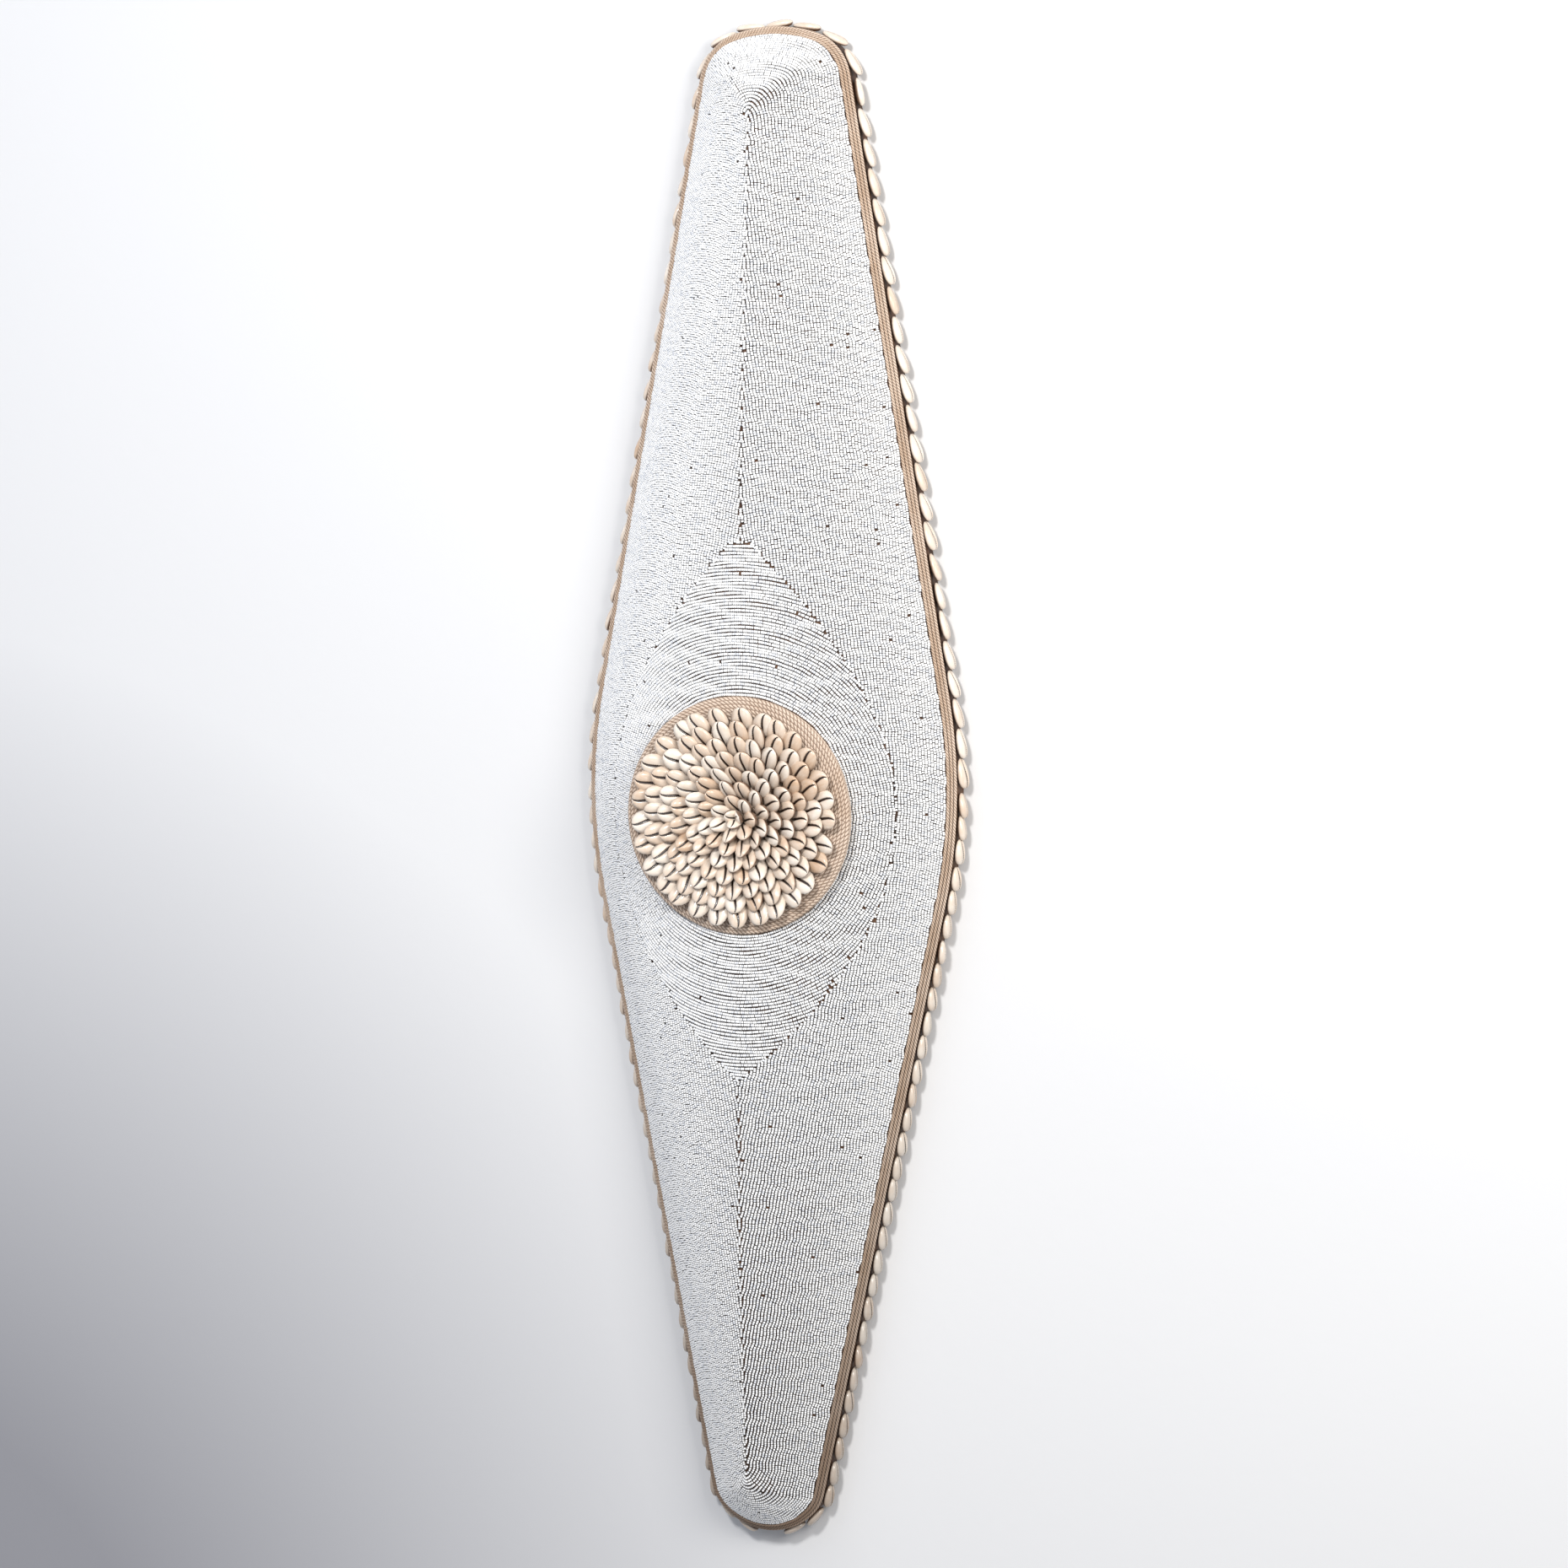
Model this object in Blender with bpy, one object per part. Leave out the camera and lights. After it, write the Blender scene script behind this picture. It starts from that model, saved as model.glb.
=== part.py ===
"""A long beaded shield that lies on its back: carved board, beadwork, rim cords and cowrie shells."""

import math

import bmesh
import bpy
import numpy as np

# Outline of the beadwork, seen from the front, measured from the waist
HALF_WIDTH = 0.155
WAIST_RADIUS = 0.42
TOP_LENGTH = 0.5935
TOP_HALF_WIDTH = 0.0518
TOP_RISE = 0.0135
TOP_CORNER_RADIUS = 0.034
FOOT_LENGTH = 0.5825
FOOT_HALF_WIDTH = 0.0393
FOOT_RISE = 0.0220
FOOT_CORNER_RADIUS = 0.026

# Board: height of its beaded edge above the back, crown of the face, wall and rim of the hollow
RIM_HEIGHT = 0.031
CROWN_RISE = 0.060
CROWN_POWER = 3.0
BOARD_THICKNESS = 0.014
BACK_RIM_WIDTH = 0.016
HOLLOW_POWER = 4.0

# Beadwork and the lozenge of ringed rows at the waist
BEAD_THICKNESS = 0.0022
LOZENGE_HALF_WIDTH = 0.119
LOZENGE_TOP_LENGTH = 0.2105
LOZENGE_TOP_POWER = 1.86
LOZENGE_TOP_BLUNT = 0.008
LOZENGE_FOOT_LENGTH = 0.2178
LOZENGE_FOOT_POWER = 2.2

# Cords round the rim
CORD_DIAMETER = 0.0029
CORD_NAMES = ("inner", "middle", "outer")

# Cowrie shells round the upright edge
EDGE_SHELL_WIDTH = 0.0135
EDGE_SHELL_THICKNESS = 0.0065
EDGE_PITCH_TOP = 0.0233
EDGE_PITCH_FOOT = 0.0196
EDGE_NECK_SHARE = 0.45
EDGE_SECTION_SHARES = ((0.0, -0.36), (0.62, -0.5), (1.0, 0.0), (0.62, 0.5), (0.0, 0.36))

# Boss: jute pad and rings of overlapping cowrie shells
PAD_RADIUS = 0.0930
PAD_FOOT_RADIUS = 0.0850
PAD_EDGE_LIFT = 0.0015
PAD_DEPTH = 0.035
PAD_SHOULDER = 0.0020
PAD_ROLL_SHARES = ((0.15, 0.9), (0.4, 0.8), (1.2, 1.0))
PAD_ROLL_DROP_SHARE = 2.1
PAD_CENTRE_Y = -0.009
RING_COUNTS = (29, 27, 24, 20, 16, 12, 7)
RING_TIP_RADIUS = 0.0857
RING_PITCH = 0.0112
RING_TIP_LIFT = 0.0120
RING_RISE = 0.0030
RING_TILT_OUTER = 24.0
RING_TILT_STEP = 5.0
RING_SHIFT = 0.0012
SHELL_LENGTH = 0.0205
SHELL_THICKNESS = 0.0060
SHELL_NECK_SHARE = 0.55
SHELL_SECTION_SHARES = ((0.5, 0.1), (0.05, 0.5), (-0.4, 0.25), (-0.5, -0.1), (0.1, -0.5))
BUD_SHELLS = 3
BUD_RADIUS = 0.0066
BUD_STEM_RADIUS = 0.0040
BUD_LENGTH = 0.0150
BUD_SEAT_SHARE = 0.5
BUD_WAIST_SHARE = 0.4
BUD_TIP_SHARE = 0.6
BUD_GROOVE_SHARE = 0.18

# Gap that touching pieces keep, and how finely the faces are divided
GAP = 0.0003
FACE_LEVELS = (0.0, 0.055, 0.125, 0.21, 0.31, 0.43, 0.58, 0.76, 1.0)
HOLLOW_LEVELS = (0.0, 0.05, 0.13, 0.25, 0.42, 0.65, 1.0)
END_STEPS = 2
CORNER_STEPS = 3
WAIST_STEPS = 4
LOZENGE_STEPS = 7
CORD_SIDES = 6
PAD_SIDES = 40
GUIDE_HEIGHT_SHARE = 1.5
MERGE_DISTANCE = 1e-6

# Places worked out from the sizes above
WAIST_Y = (FOOT_LENGTH - TOP_LENGTH) / 2


def flank_angle(length, half_width, rise):
    """Slant of a flank line from the long axis."""
    return math.atan2(HALF_WIDTH - half_width, length - rise)


TOP_SLANT = flank_angle(TOP_LENGTH, TOP_HALF_WIDTH, TOP_RISE)
FOOT_SLANT = flank_angle(FOOT_LENGTH, FOOT_HALF_WIDTH, FOOT_RISE)


def waist_centre():
    """Centre of the arc that rounds the right-hand waist: both flank lines lie one radius from it."""
    top_normal = (math.cos(TOP_SLANT), math.sin(TOP_SLANT))
    foot_normal = (math.cos(FOOT_SLANT), -math.sin(FOOT_SLANT))
    normals = np.array((top_normal, foot_normal))
    reach = normals[:, 0] * HALF_WIDTH - WAIST_RADIUS
    return np.linalg.solve(normals, reach)


WAIST_CENTRE = waist_centre()
FULL_DEPTH = WAIST_RADIUS + WAIST_CENTRE[0]
RIM_SLOPE = math.atan(CROWN_RISE * CROWN_POWER / FULL_DEPTH)
CORD_PITCH = CORD_DIAMETER + GAP
BAND_WIDTH = CORD_PITCH * len(CORD_NAMES)
CROWN_HEIGHT = RIM_HEIGHT + CROWN_RISE
PAD_PLANE = CROWN_HEIGHT + PAD_EDGE_LIFT
PAD_CENTRE = (0.0, WAIST_Y + PAD_CENTRE_Y)


def end_points(length, half_width, rise, corner_radius, depth):
    """Right half of one end moved inwards by depth, for an end that points along +Y: arc, rounded corner."""
    slant = flank_angle(length, half_width, rise)
    radius = (half_width ** 2 + rise ** 2) / (2 * rise)
    centre_y = length - radius
    inner = max(depth, corner_radius)
    reach = HALF_WIDTH * math.cos(slant) - inner
    meet_y = reach / math.sin(slant)
    if meet_y <= centre_y + radius - inner:
        return [(0.0, max(meet_y, 0.0))] * (END_STEPS + CORNER_STEPS + 1)
    height = reach - centre_y * math.sin(slant)
    run = math.sqrt((radius - inner) ** 2 - height ** 2)
    corner_x = height * math.cos(slant) - run * math.sin(slant)
    corner_y = height * math.sin(slant) + run * math.cos(slant)
    sweep = math.atan2(corner_x, corner_y)
    points = []
    for angle in np.linspace(0.0, sweep, END_STEPS + 1):
        points.append(((radius - depth) * math.sin(angle), centre_y + (radius - depth) * math.cos(angle)))
    rounding = inner - depth
    for angle in np.linspace(sweep, math.pi / 2 - slant, CORNER_STEPS + 1)[1:]:
        across = corner_x + rounding * math.sin(angle)
        points.append((across, centre_y + corner_y + rounding * math.cos(angle)))
    return points


def waist_points(depth):
    """Points of the right-hand waist arc, moved inwards by depth and stopped at the long axis."""
    radius = WAIST_RADIUS - depth
    stop = math.acos(min(1.0, -WAIST_CENTRE[0] / radius))
    angles = np.linspace(min(TOP_SLANT, stop), -min(FOOT_SLANT, stop), WAIST_STEPS + 1)
    across = WAIST_CENTRE[0] + radius * np.cos(angles)
    along = WAIST_CENTRE[1] + radius * np.sin(angles)
    return list(zip(np.maximum(across, 0.0), along))


def outline(depth):
    """The beadwork's outline moved inwards by depth, clockwise from the middle of the top end."""
    waist = waist_points(depth)
    top = end_points(TOP_LENGTH, TOP_HALF_WIDTH, TOP_RISE, TOP_CORNER_RADIUS, depth)
    foot = end_points(FOOT_LENGTH, FOOT_HALF_WIDTH, FOOT_RISE, FOOT_CORNER_RADIUS, depth)
    if waist[0][0] <= 0.0 or top[0][1] < waist[0][1]:
        top = [waist[0]] * len(top)
    foot = [(x, -y) for x, y in reversed(foot)]
    if waist[-1][0] <= 0.0 or foot[-1][1] > waist[-1][1]:
        foot = [waist[-1]] * len(foot)
    right = top + waist + foot
    left = [(-x, y) for x, y in reversed(right[1:-1])]
    return [(x, y + WAIST_Y) for x, y in right + left]


def face_height(depth):
    """Height of the beaded face above the back, as a function of the distance in from its outline."""
    share = min(1.0, max(0.0, 1.0 - depth / FULL_DEPTH))
    return RIM_HEIGHT + CROWN_RISE * (1.0 - share ** CROWN_POWER)


def face_stretch(depth):
    """Upright height of a layer of unit thickness, which grows with the slope of the face."""
    share = min(1.0, max(0.0, 1.0 - depth / FULL_DEPTH))
    slope = CROWN_RISE * CROWN_POWER / FULL_DEPTH * share ** (CROWN_POWER - 1.0)
    return math.hypot(1.0, slope)


def face_rings(sink):
    """Rings of points over the face, from the crown out to the edge, sink below the beads' surface."""
    rings = []
    for level in reversed(FACE_LEVELS):
        depth = FULL_DEPTH * level
        height = face_height(depth) - sink * face_stretch(depth)
        rings.append([(x, y, height) for x, y in outline(depth)])
    return rings


def level_ring(depth, height):
    """The outline at one depth and one height."""
    return [(x, y, height) for x, y in outline(depth)]


def add_object(name, mesh, material):
    """A named object with one material."""
    mesh.materials.append(material)
    item = bpy.data.objects.new(name, mesh)
    bpy.context.scene.collection.objects.link(item)
    return item


def skin(name, rings, material, joined=False):
    """A closed solid from rings of equal length; joined rings close on themselves as a hoop."""
    shape = bmesh.new()
    verts = [[shape.verts.new(point) for point in ring] for ring in rings]
    count = len(rings[0])
    last = len(rings) if joined else len(rings) - 1
    for row in range(last):
        lower = verts[row]
        upper = verts[(row + 1) % len(rings)]
        for step in range(count):
            after = (step + 1) % count
            shape.faces.new((lower[step], lower[after], upper[after], upper[step]))
    if not joined:
        shape.faces.new(list(reversed(verts[0])))
        shape.faces.new(verts[-1])
    bmesh.ops.remove_doubles(shape, verts=shape.verts, dist=MERGE_DISTANCE)
    bmesh.ops.dissolve_degenerate(shape, dist=MERGE_DISTANCE, edges=shape.edges)
    bmesh.ops.triangulate(shape, faces=[face for face in shape.faces if len(face.verts) > 4])
    bmesh.ops.recalc_face_normals(shape, faces=shape.faces)
    mesh = bpy.data.meshes.new(name)
    shape.to_mesh(mesh)
    shape.free()
    return add_object(name, mesh, material)


def cut(item, cutter, operation):
    """A live boolean whose cutter is only a guide."""
    cutter.hide_render = True
    cutter.display_type = "WIRE"
    modifier = item.modifiers.new(cutter.name, "BOOLEAN")
    modifier.operation = operation
    modifier.solver = "EXACT"
    modifier.object = cutter


def principled(name, colour, roughness):
    """A plain material in the colour of the piece."""
    material = bpy.data.materials.new(name)
    material.use_nodes = True
    shader = material.node_tree.nodes["Principled BSDF"]
    shader.inputs["Base Color"].default_value = (*colour, 1.0)
    shader.inputs["Roughness"].default_value = roughness
    shader.inputs["Metallic"].default_value = 0.0
    return material


def hollow_height(depth):
    """Height of the hollow in the back, which follows the face one board thickness below it."""
    crown = CROWN_HEIGHT - BEAD_THICKNESS - GAP - BOARD_THICKNESS
    start = BACK_RIM_WIDTH - band_reach()
    share = 1.0 - (depth - start) / (FULL_DEPTH - start)
    return crown * (1.0 - share ** HOLLOW_POWER)


def band_reach():
    """Plan distance from the beadwork's outline out to the board's upright edge."""
    return BAND_WIDTH * math.cos(RIM_SLOPE)


def wall_height():
    """Height of the board's upright edge."""
    sink = (BEAD_THICKNESS + GAP) * face_stretch(0.0)
    return RIM_HEIGHT - sink - BAND_WIDTH * math.sin(RIM_SLOPE)


def make_board(material):
    """Carved board: face under the beads, sloping band under the cords, upright edge, hollow back."""
    rings = face_rings(BEAD_THICKNESS + GAP)
    rings.append(level_ring(-band_reach(), wall_height()))
    rings.append(level_ring(-band_reach(), 0.0))
    start = BACK_RIM_WIDTH - band_reach()
    for level in HOLLOW_LEVELS:
        depth = start + (FULL_DEPTH - start) * level
        rings.append(level_ring(depth, hollow_height(depth)))
    return skin("carved_board", rings, material)


def bead_layer(name, material):
    """The whole beadwork as one even layer on the board."""
    lower = face_rings(BEAD_THICKNESS)
    upper = list(reversed(face_rings(0.0)))
    return skin(name, lower + upper, material)


def lozenge_half(length, power, blunt, margin):
    """Right-hand points of one half of the lozenge from the waist to its end, grown by margin."""
    grown = 1 + margin / LOZENGE_HALF_WIDTH
    last = (1 - blunt / LOZENGE_HALF_WIDTH) ** (1 / power)
    points = []
    for step in range(LOZENGE_STEPS + 1):
        share = last * math.sin(math.pi / 2 * step / LOZENGE_STEPS)
        points.append((LOZENGE_HALF_WIDTH * grown * (1 - share ** power), length * grown * share))
    return points


def lozenge_guide(name, margin, material):
    """Upright prism over the lozenge: blunt at the top, pointed at the foot."""
    top = lozenge_half(LOZENGE_TOP_LENGTH, LOZENGE_TOP_POWER, LOZENGE_TOP_BLUNT, margin)
    foot = lozenge_half(LOZENGE_FOOT_LENGTH, LOZENGE_FOOT_POWER, 0.0, margin)
    right = [(x, -y) for x, y in reversed(foot[1:])] + top
    left = [(-x, y) for x, y in reversed(right[1:])]
    rings = []
    for height in (-GAP, CROWN_HEIGHT * GUIDE_HEIGHT_SHARE):
        rings.append([(x, y + WAIST_Y, height) for x, y in right + left])
    return skin(name, rings, material)


def pad_edge(margin):
    """Radius and height up the pad's rolled edge, grown by margin, from its foot to its shoulder."""
    lift = PAD_PLANE + margin
    roll = PAD_RADIUS - PAD_FOOT_RADIUS
    (under_in, under_down), (over_in, over_up), (shoulder_in, shoulder_up) = PAD_ROLL_SHARES
    return [
        (PAD_FOOT_RADIUS + margin, PAD_PLANE - PAD_DEPTH),
        (PAD_FOOT_RADIUS + margin, lift - roll * PAD_ROLL_DROP_SHARE),
        (PAD_RADIUS - roll * under_in + margin, lift - roll * under_down),
        (PAD_RADIUS + margin, lift),
        (PAD_RADIUS - roll * over_in, lift + PAD_SHOULDER * over_up),
        (PAD_RADIUS - roll * shoulder_in, lift + PAD_SHOULDER * shoulder_up),
    ]


def ring_profile(index, size):
    """Radius and height round a shell's section in one ring: tip, back, inner end and belly."""
    tilt = math.radians(RING_TILT_OUTER + RING_TILT_STEP * index)
    radius = RING_TIP_RADIUS - RING_PITCH * index - SHELL_LENGTH / 2 * math.cos(tilt)
    height = PAD_PLANE + RING_TIP_LIFT + RING_RISE * index - SHELL_LENGTH / 2 * math.sin(tilt)
    profile = []
    for along, across in SHELL_SECTION_SHARES:
        a = along * SHELL_LENGTH * size
        b = across * SHELL_THICKNESS * size
        out = radius + a * math.cos(tilt) - b * math.sin(tilt)
        profile.append((out, height + a * math.sin(tilt) + b * math.cos(tilt)))
    return profile


def ring_seat(index):
    """Where a ring's inner ends rest on the pad: radius and height just below them."""
    out, height = min(ring_profile(index, 1.0), key=lambda point: point[1])
    return out, height - GAP


def ring_centre(index):
    """Centre of a ring: each lies a little further to the right than the one outside it."""
    return PAD_CENTRE[0] + RING_SHIFT * index, PAD_CENTRE[1]


def circle(centre, radius, height, sides):
    """Points round an upright axis."""
    angles = [2 * math.pi * step / sides for step in range(sides)]
    return [(centre[0] + radius * math.cos(a), centre[1] + radius * math.sin(a), height) for a in angles]


def make_beadwork(material, guide):
    """Flank rows outside the lozenge and ringed rows inside it, which meet along its seam."""
    flanks = bead_layer("beadwork_flanks", material)
    cut(flanks, lozenge_guide("lozenge_outer_guide", GAP / 2, guide), "DIFFERENCE")
    lozenge = bead_layer("beadwork_lozenge", material)
    cut(lozenge, lozenge_guide("lozenge_inner_guide", -GAP / 2, guide), "INTERSECT")
    opening = [circle(PAD_CENTRE, radius, height, PAD_SIDES) for radius, height in pad_edge(GAP)]
    cut(lozenge, skin("pad_opening_guide", opening, guide), "DIFFERENCE")


def make_pad(material, guide):
    """Round pad of wound jute that sits on the board; its domed top carries the rings of shells."""
    rings = [circle(PAD_CENTRE, radius, height, PAD_SIDES) for radius, height in pad_edge(0.0)]
    for index in range(len(RING_COUNTS)):
        rings.append(circle(ring_centre(index), *ring_seat(index), PAD_SIDES))
    pad = skin("boss_pad", rings, material)
    base = face_rings(BEAD_THICKNESS)
    base.append(level_ring(0.0, 0.0))
    cut(pad, skin("pad_seat_guide", base, guide), "DIFFERENCE")


def make_cords(material):
    """Cords laid side by side down the sloping band."""
    sink = (BEAD_THICKNESS + GAP) * face_stretch(0.0)
    radius = CORD_DIAMETER / 2
    for index, name in enumerate(CORD_NAMES):
        along = CORD_PITCH * (index + 0.5)
        out = along * math.cos(RIM_SLOPE) + (radius + GAP) * math.sin(RIM_SLOPE)
        height = RIM_HEIGHT - sink - along * math.sin(RIM_SLOPE) + (radius + GAP) * math.cos(RIM_SLOPE)
        rings = []
        for side in range(CORD_SIDES):
            angle = 2 * math.pi * side / CORD_SIDES
            rings.append(level_ring(-out - radius * math.cos(angle), height + radius * math.sin(angle)))
        skin("rim_cord_" + name, rings, material, joined=True)


def walk(path, reached, distances):
    """Points at distances along a path whose corners lie at the distances reached."""
    return np.stack([np.interp(distances, reached, path[:, axis]) for axis in (0, 1)], axis=1)


def edge_stations(path, reached):
    """Distances of the shells' bellies and necks down the right side, with the path's corners; sizes."""
    waist = reached[np.argmin(np.abs(path[:, 1] - WAIST_Y))]
    shells = []
    for start, end, pitch in ((0.0, waist, EDGE_PITCH_TOP), (waist, reached[-1], EDGE_PITCH_FOOT)):
        count = max(1, round((end - start) / pitch))
        shells.extend(np.linspace(start, end, 2 * count + 1)[:-1])
    shells = np.array(shells + [reached[-1]])
    sizes = np.where(np.arange(len(shells)) % 2, EDGE_NECK_SHARE, 1.0)
    clear = np.abs(shells[:, None] - reached[None, :]).min(axis=1) > EDGE_SHELL_THICKNESS / 4
    stations = np.union1d(shells[clear], reached)
    return stations, np.interp(stations, shells, sizes)


def make_edge_cowries(material):
    """Row of shells end to end round the upright edge, fused at their tips into one hoop."""
    loop = outline(-band_reach() - GAP)
    path = np.array(loop[:len(loop) // 2 + 1])
    reached = np.concatenate(([0.0], np.cumsum(np.hypot(*np.diff(path, axis=0).T))))
    stations, sizes = edge_stations(path, reached)
    points = walk(path, reached, stations)
    span = EDGE_SHELL_WIDTH / 2
    along = walk(path, reached, stations + span) - walk(path, reached, stations - span)
    along /= np.hypot(along[:, 0], along[:, 1])[:, None]
    outward = np.stack((-along[:, 1], along[:, 0]), axis=1)
    outward[0] = (0.0, 1.0)
    outward[-1] = (0.0, -1.0)
    points = np.concatenate((points, (points * (-1, 1))[-2:0:-1]))
    outward = np.concatenate((outward, (outward * (-1, 1))[-2:0:-1]))
    sizes = np.concatenate((sizes, sizes[-2:0:-1]))
    middle = wall_height() - EDGE_SHELL_WIDTH / 2
    rings = []
    for out, up in EDGE_SECTION_SHARES:
        plan = points + outward * (out * EDGE_SHELL_THICKNESS * sizes)[:, None]
        heights = middle + up * EDGE_SHELL_WIDTH * sizes
        rings.append([tuple(point) for point in np.column_stack((plan, heights))])
    skin("edge_cowries", rings, material, joined=True)


def make_boss_rings(material):
    """Rings of shells side by side, tips outwards and raised, each ring lying over the one outside it."""
    for index, count in enumerate(RING_COUNTS):
        centre_x, centre_y = ring_centre(index)
        sections = (ring_profile(index, 1.0), ring_profile(index, SHELL_NECK_SHARE))
        rings = []
        for corner in range(len(sections[0])):
            ring = []
            for step in range(2 * count):
                out, height = sections[step % 2][corner]
                angle = math.pi * step / count
                ring.append((centre_x + out * math.cos(angle), centre_y + out * math.sin(angle), height))
            rings.append(ring)
        skin("boss_cowries_%d" % (index + 1), rings, material, joined=True)


def make_bud(material):
    """Bud of upright shells at the boss's centre, standing on the pad inside the last ring."""
    last = len(RING_COUNTS) - 1
    centre = ring_centre(last)
    seat = ring_seat(last)[1]
    shoulder = PAD_PLANE + RING_TIP_LIFT + RING_RISE * last - BUD_LENGTH * BUD_SEAT_SHARE
    levels = (
        (BUD_STEM_RADIUS, seat + GAP),
        (BUD_STEM_RADIUS, shoulder - BUD_LENGTH * BUD_WAIST_SHARE),
        (BUD_RADIUS, shoulder),
        (BUD_RADIUS, shoulder + BUD_LENGTH * BUD_WAIST_SHARE),
        (BUD_RADIUS / 2, shoulder + BUD_LENGTH * BUD_TIP_SHARE),
    )
    rings = []
    for radius, height in levels:
        ring = []
        for step in range(4 * BUD_SHELLS):
            angle = math.pi * step / (2 * BUD_SHELLS)
            reach = radius * (1 - BUD_GROOVE_SHARE + BUD_GROOVE_SHARE * math.cos(angle * BUD_SHELLS))
            ring.append((centre[0] + reach * math.cos(angle), centre[1] + reach * math.sin(angle), height))
        rings.append(ring)
    skin("boss_cowries_bud", rings, material)


def main():
    """Empties the scene and makes the shield."""
    for item in list(bpy.data.objects):
        bpy.data.objects.remove(item)
    wood = principled("dark_stained_wood", (0.11, 0.065, 0.04), 0.6)
    beads = principled("white_glass_beads", (0.86, 0.86, 0.85), 0.25)
    jute = principled("jute_cord", (0.58, 0.42, 0.27), 0.9)
    shell = principled("cowrie_shell", (0.83, 0.66, 0.47), 0.3)
    guide = principled("guide", (0.5, 0.5, 0.5), 0.5)
    make_board(wood)
    make_beadwork(beads, guide)
    make_cords(jute)
    make_edge_cowries(shell)
    make_pad(jute, guide)
    make_boss_rings(shell)
    make_bud(shell)


main()
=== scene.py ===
"""Dresses the beaded shield: strung glass beads, twisted jute, cowrie shells, carved board and stage."""
import math

import bmesh
import bpy
import numpy as np
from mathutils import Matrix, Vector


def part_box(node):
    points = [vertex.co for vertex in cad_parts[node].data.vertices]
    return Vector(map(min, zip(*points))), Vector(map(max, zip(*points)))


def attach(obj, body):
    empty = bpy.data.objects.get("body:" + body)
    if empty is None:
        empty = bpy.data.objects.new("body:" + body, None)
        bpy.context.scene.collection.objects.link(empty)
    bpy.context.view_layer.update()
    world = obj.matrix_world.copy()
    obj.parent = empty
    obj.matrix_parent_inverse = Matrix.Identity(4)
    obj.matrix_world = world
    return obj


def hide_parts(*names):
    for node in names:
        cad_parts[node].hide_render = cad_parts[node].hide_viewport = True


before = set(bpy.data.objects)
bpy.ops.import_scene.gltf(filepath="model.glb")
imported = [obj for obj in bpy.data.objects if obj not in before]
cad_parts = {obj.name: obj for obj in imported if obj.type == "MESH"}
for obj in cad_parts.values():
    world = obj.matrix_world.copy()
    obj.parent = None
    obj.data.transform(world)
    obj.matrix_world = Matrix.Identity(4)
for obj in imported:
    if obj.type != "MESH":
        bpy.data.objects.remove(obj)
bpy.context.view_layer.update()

bl_info = {
    "name": "Beaded Shield",
    "version": (1, 0, 0),
    "blender": (4, 5, 0),
    "location": "View3D > Sidebar > Shield",
    "description": "Makes the finished surfaces of a long beaded shield around its packed solids",
    "category": "Add Mesh",
}

# Outline and crown of the beaded face, as in the part's source, measured from the waist in metres
HALF_WIDTH = 0.155
WAIST_RADIUS = 0.42
# Each end as its length, half width, rise of its arc and corner radius
TOP_END = (0.5935, 0.0518, 0.0135, 0.034)
FOOT_END = (0.5825, 0.0393, 0.0220, 0.026)
RIM_HEIGHT = 0.031
CROWN_RISE = 0.060
CROWN_POWER = 3.0
BOARD_THICKNESS = 0.014
BACK_RIM_WIDTH = 0.016
HOLLOW_POWER = 4.0
BEAD_THICKNESS = 0.0022
LOZENGE_HALF_WIDTH = 0.119
LOZENGE_TOP_LENGTH = 0.2105
LOZENGE_TOP_POWER = 1.86
LOZENGE_TOP_BLUNT = 0.008
LOZENGE_FOOT_LENGTH = 0.2178
LOZENGE_FOOT_POWER = 2.2
CORD_DIAMETER = 0.0029
CORD_NAMES = ("inner", "middle", "outer")
GAP = 0.0003

# Boss and edge shells, as in the part's source
PAD_RADIUS = 0.0930
PAD_FOOT_RADIUS = 0.0850
PAD_EDGE_LIFT = 0.0015
PAD_SHOULDER = 0.0020
PAD_CENTRE_Y = -0.009
RING_COUNTS = (29, 27, 24, 20, 16, 12, 7)
RING_TIP_RADIUS = 0.0857
RING_PITCH = 0.0112
RING_TIP_LIFT = 0.0120
RING_RISE = 0.0030
RING_TILT_OUTER = 24.0
RING_TILT_STEP = 5.0
RING_SHIFT = 0.0012
SHELL_LENGTH = 0.0205
SHELL_THICKNESS = 0.0060
BUD_SHELLS = 3
BUD_LENGTH = 0.0150
EDGE_SHELL_WIDTH = 0.0135
EDGE_SHELL_THICKNESS = 0.0065
EDGE_PITCH_TOP = 0.0233
EDGE_PITCH_FOOT = 0.0196

# How finely curves are followed
END_STEPS = 14
CORNER_STEPS = 12
FLANK_STEPS = 60
WAIST_STEPS = 28
LINE_STEP = 0.001
SLOPE_STEP = 0.0006

# Camera of the photograph: distance and direction from what it looks at, roll, lens and target
CAMERA_DISTANCE = 3.5
CAMERA_LEAN_RIGHT = 21.48
CAMERA_LEAN_UP = 5.62
CAMERA_ROLL = 0.29
CAMERA_LENS = 103.8
CAMERA_TARGET = (0.0340, 0.0106, 0.081)


# Materials that two operators share, the colour of soil and painted shade towards the foot, how far it covers
# the foot, and the corner towards which painted shade darkens the floor
BEAD_GLASS = "opaque_white_glass_fire_polished"
SHELL_ENAMEL = "natural_cowrie_enamel"
FOOT_SOIL_AND_SHADE_COLOUR = "#4A3C31"
FOOT_SOIL_AND_SHADE_MOST = 0.45
SHADED_FLOOR_CORNER = (-0.9, -0.9, 0.0)


def hex_colour(code):
    """Linear colour from an sRGB hex value: each channel is unbent by the sRGB curve."""
    channels = [int(code[start:start + 2], 16) / 255 for start in (1, 3, 5)]
    return tuple(c / 12.92 if c <= 0.04045 else ((c + 0.055) / 1.055) ** 2.4 for c in channels)


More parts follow.
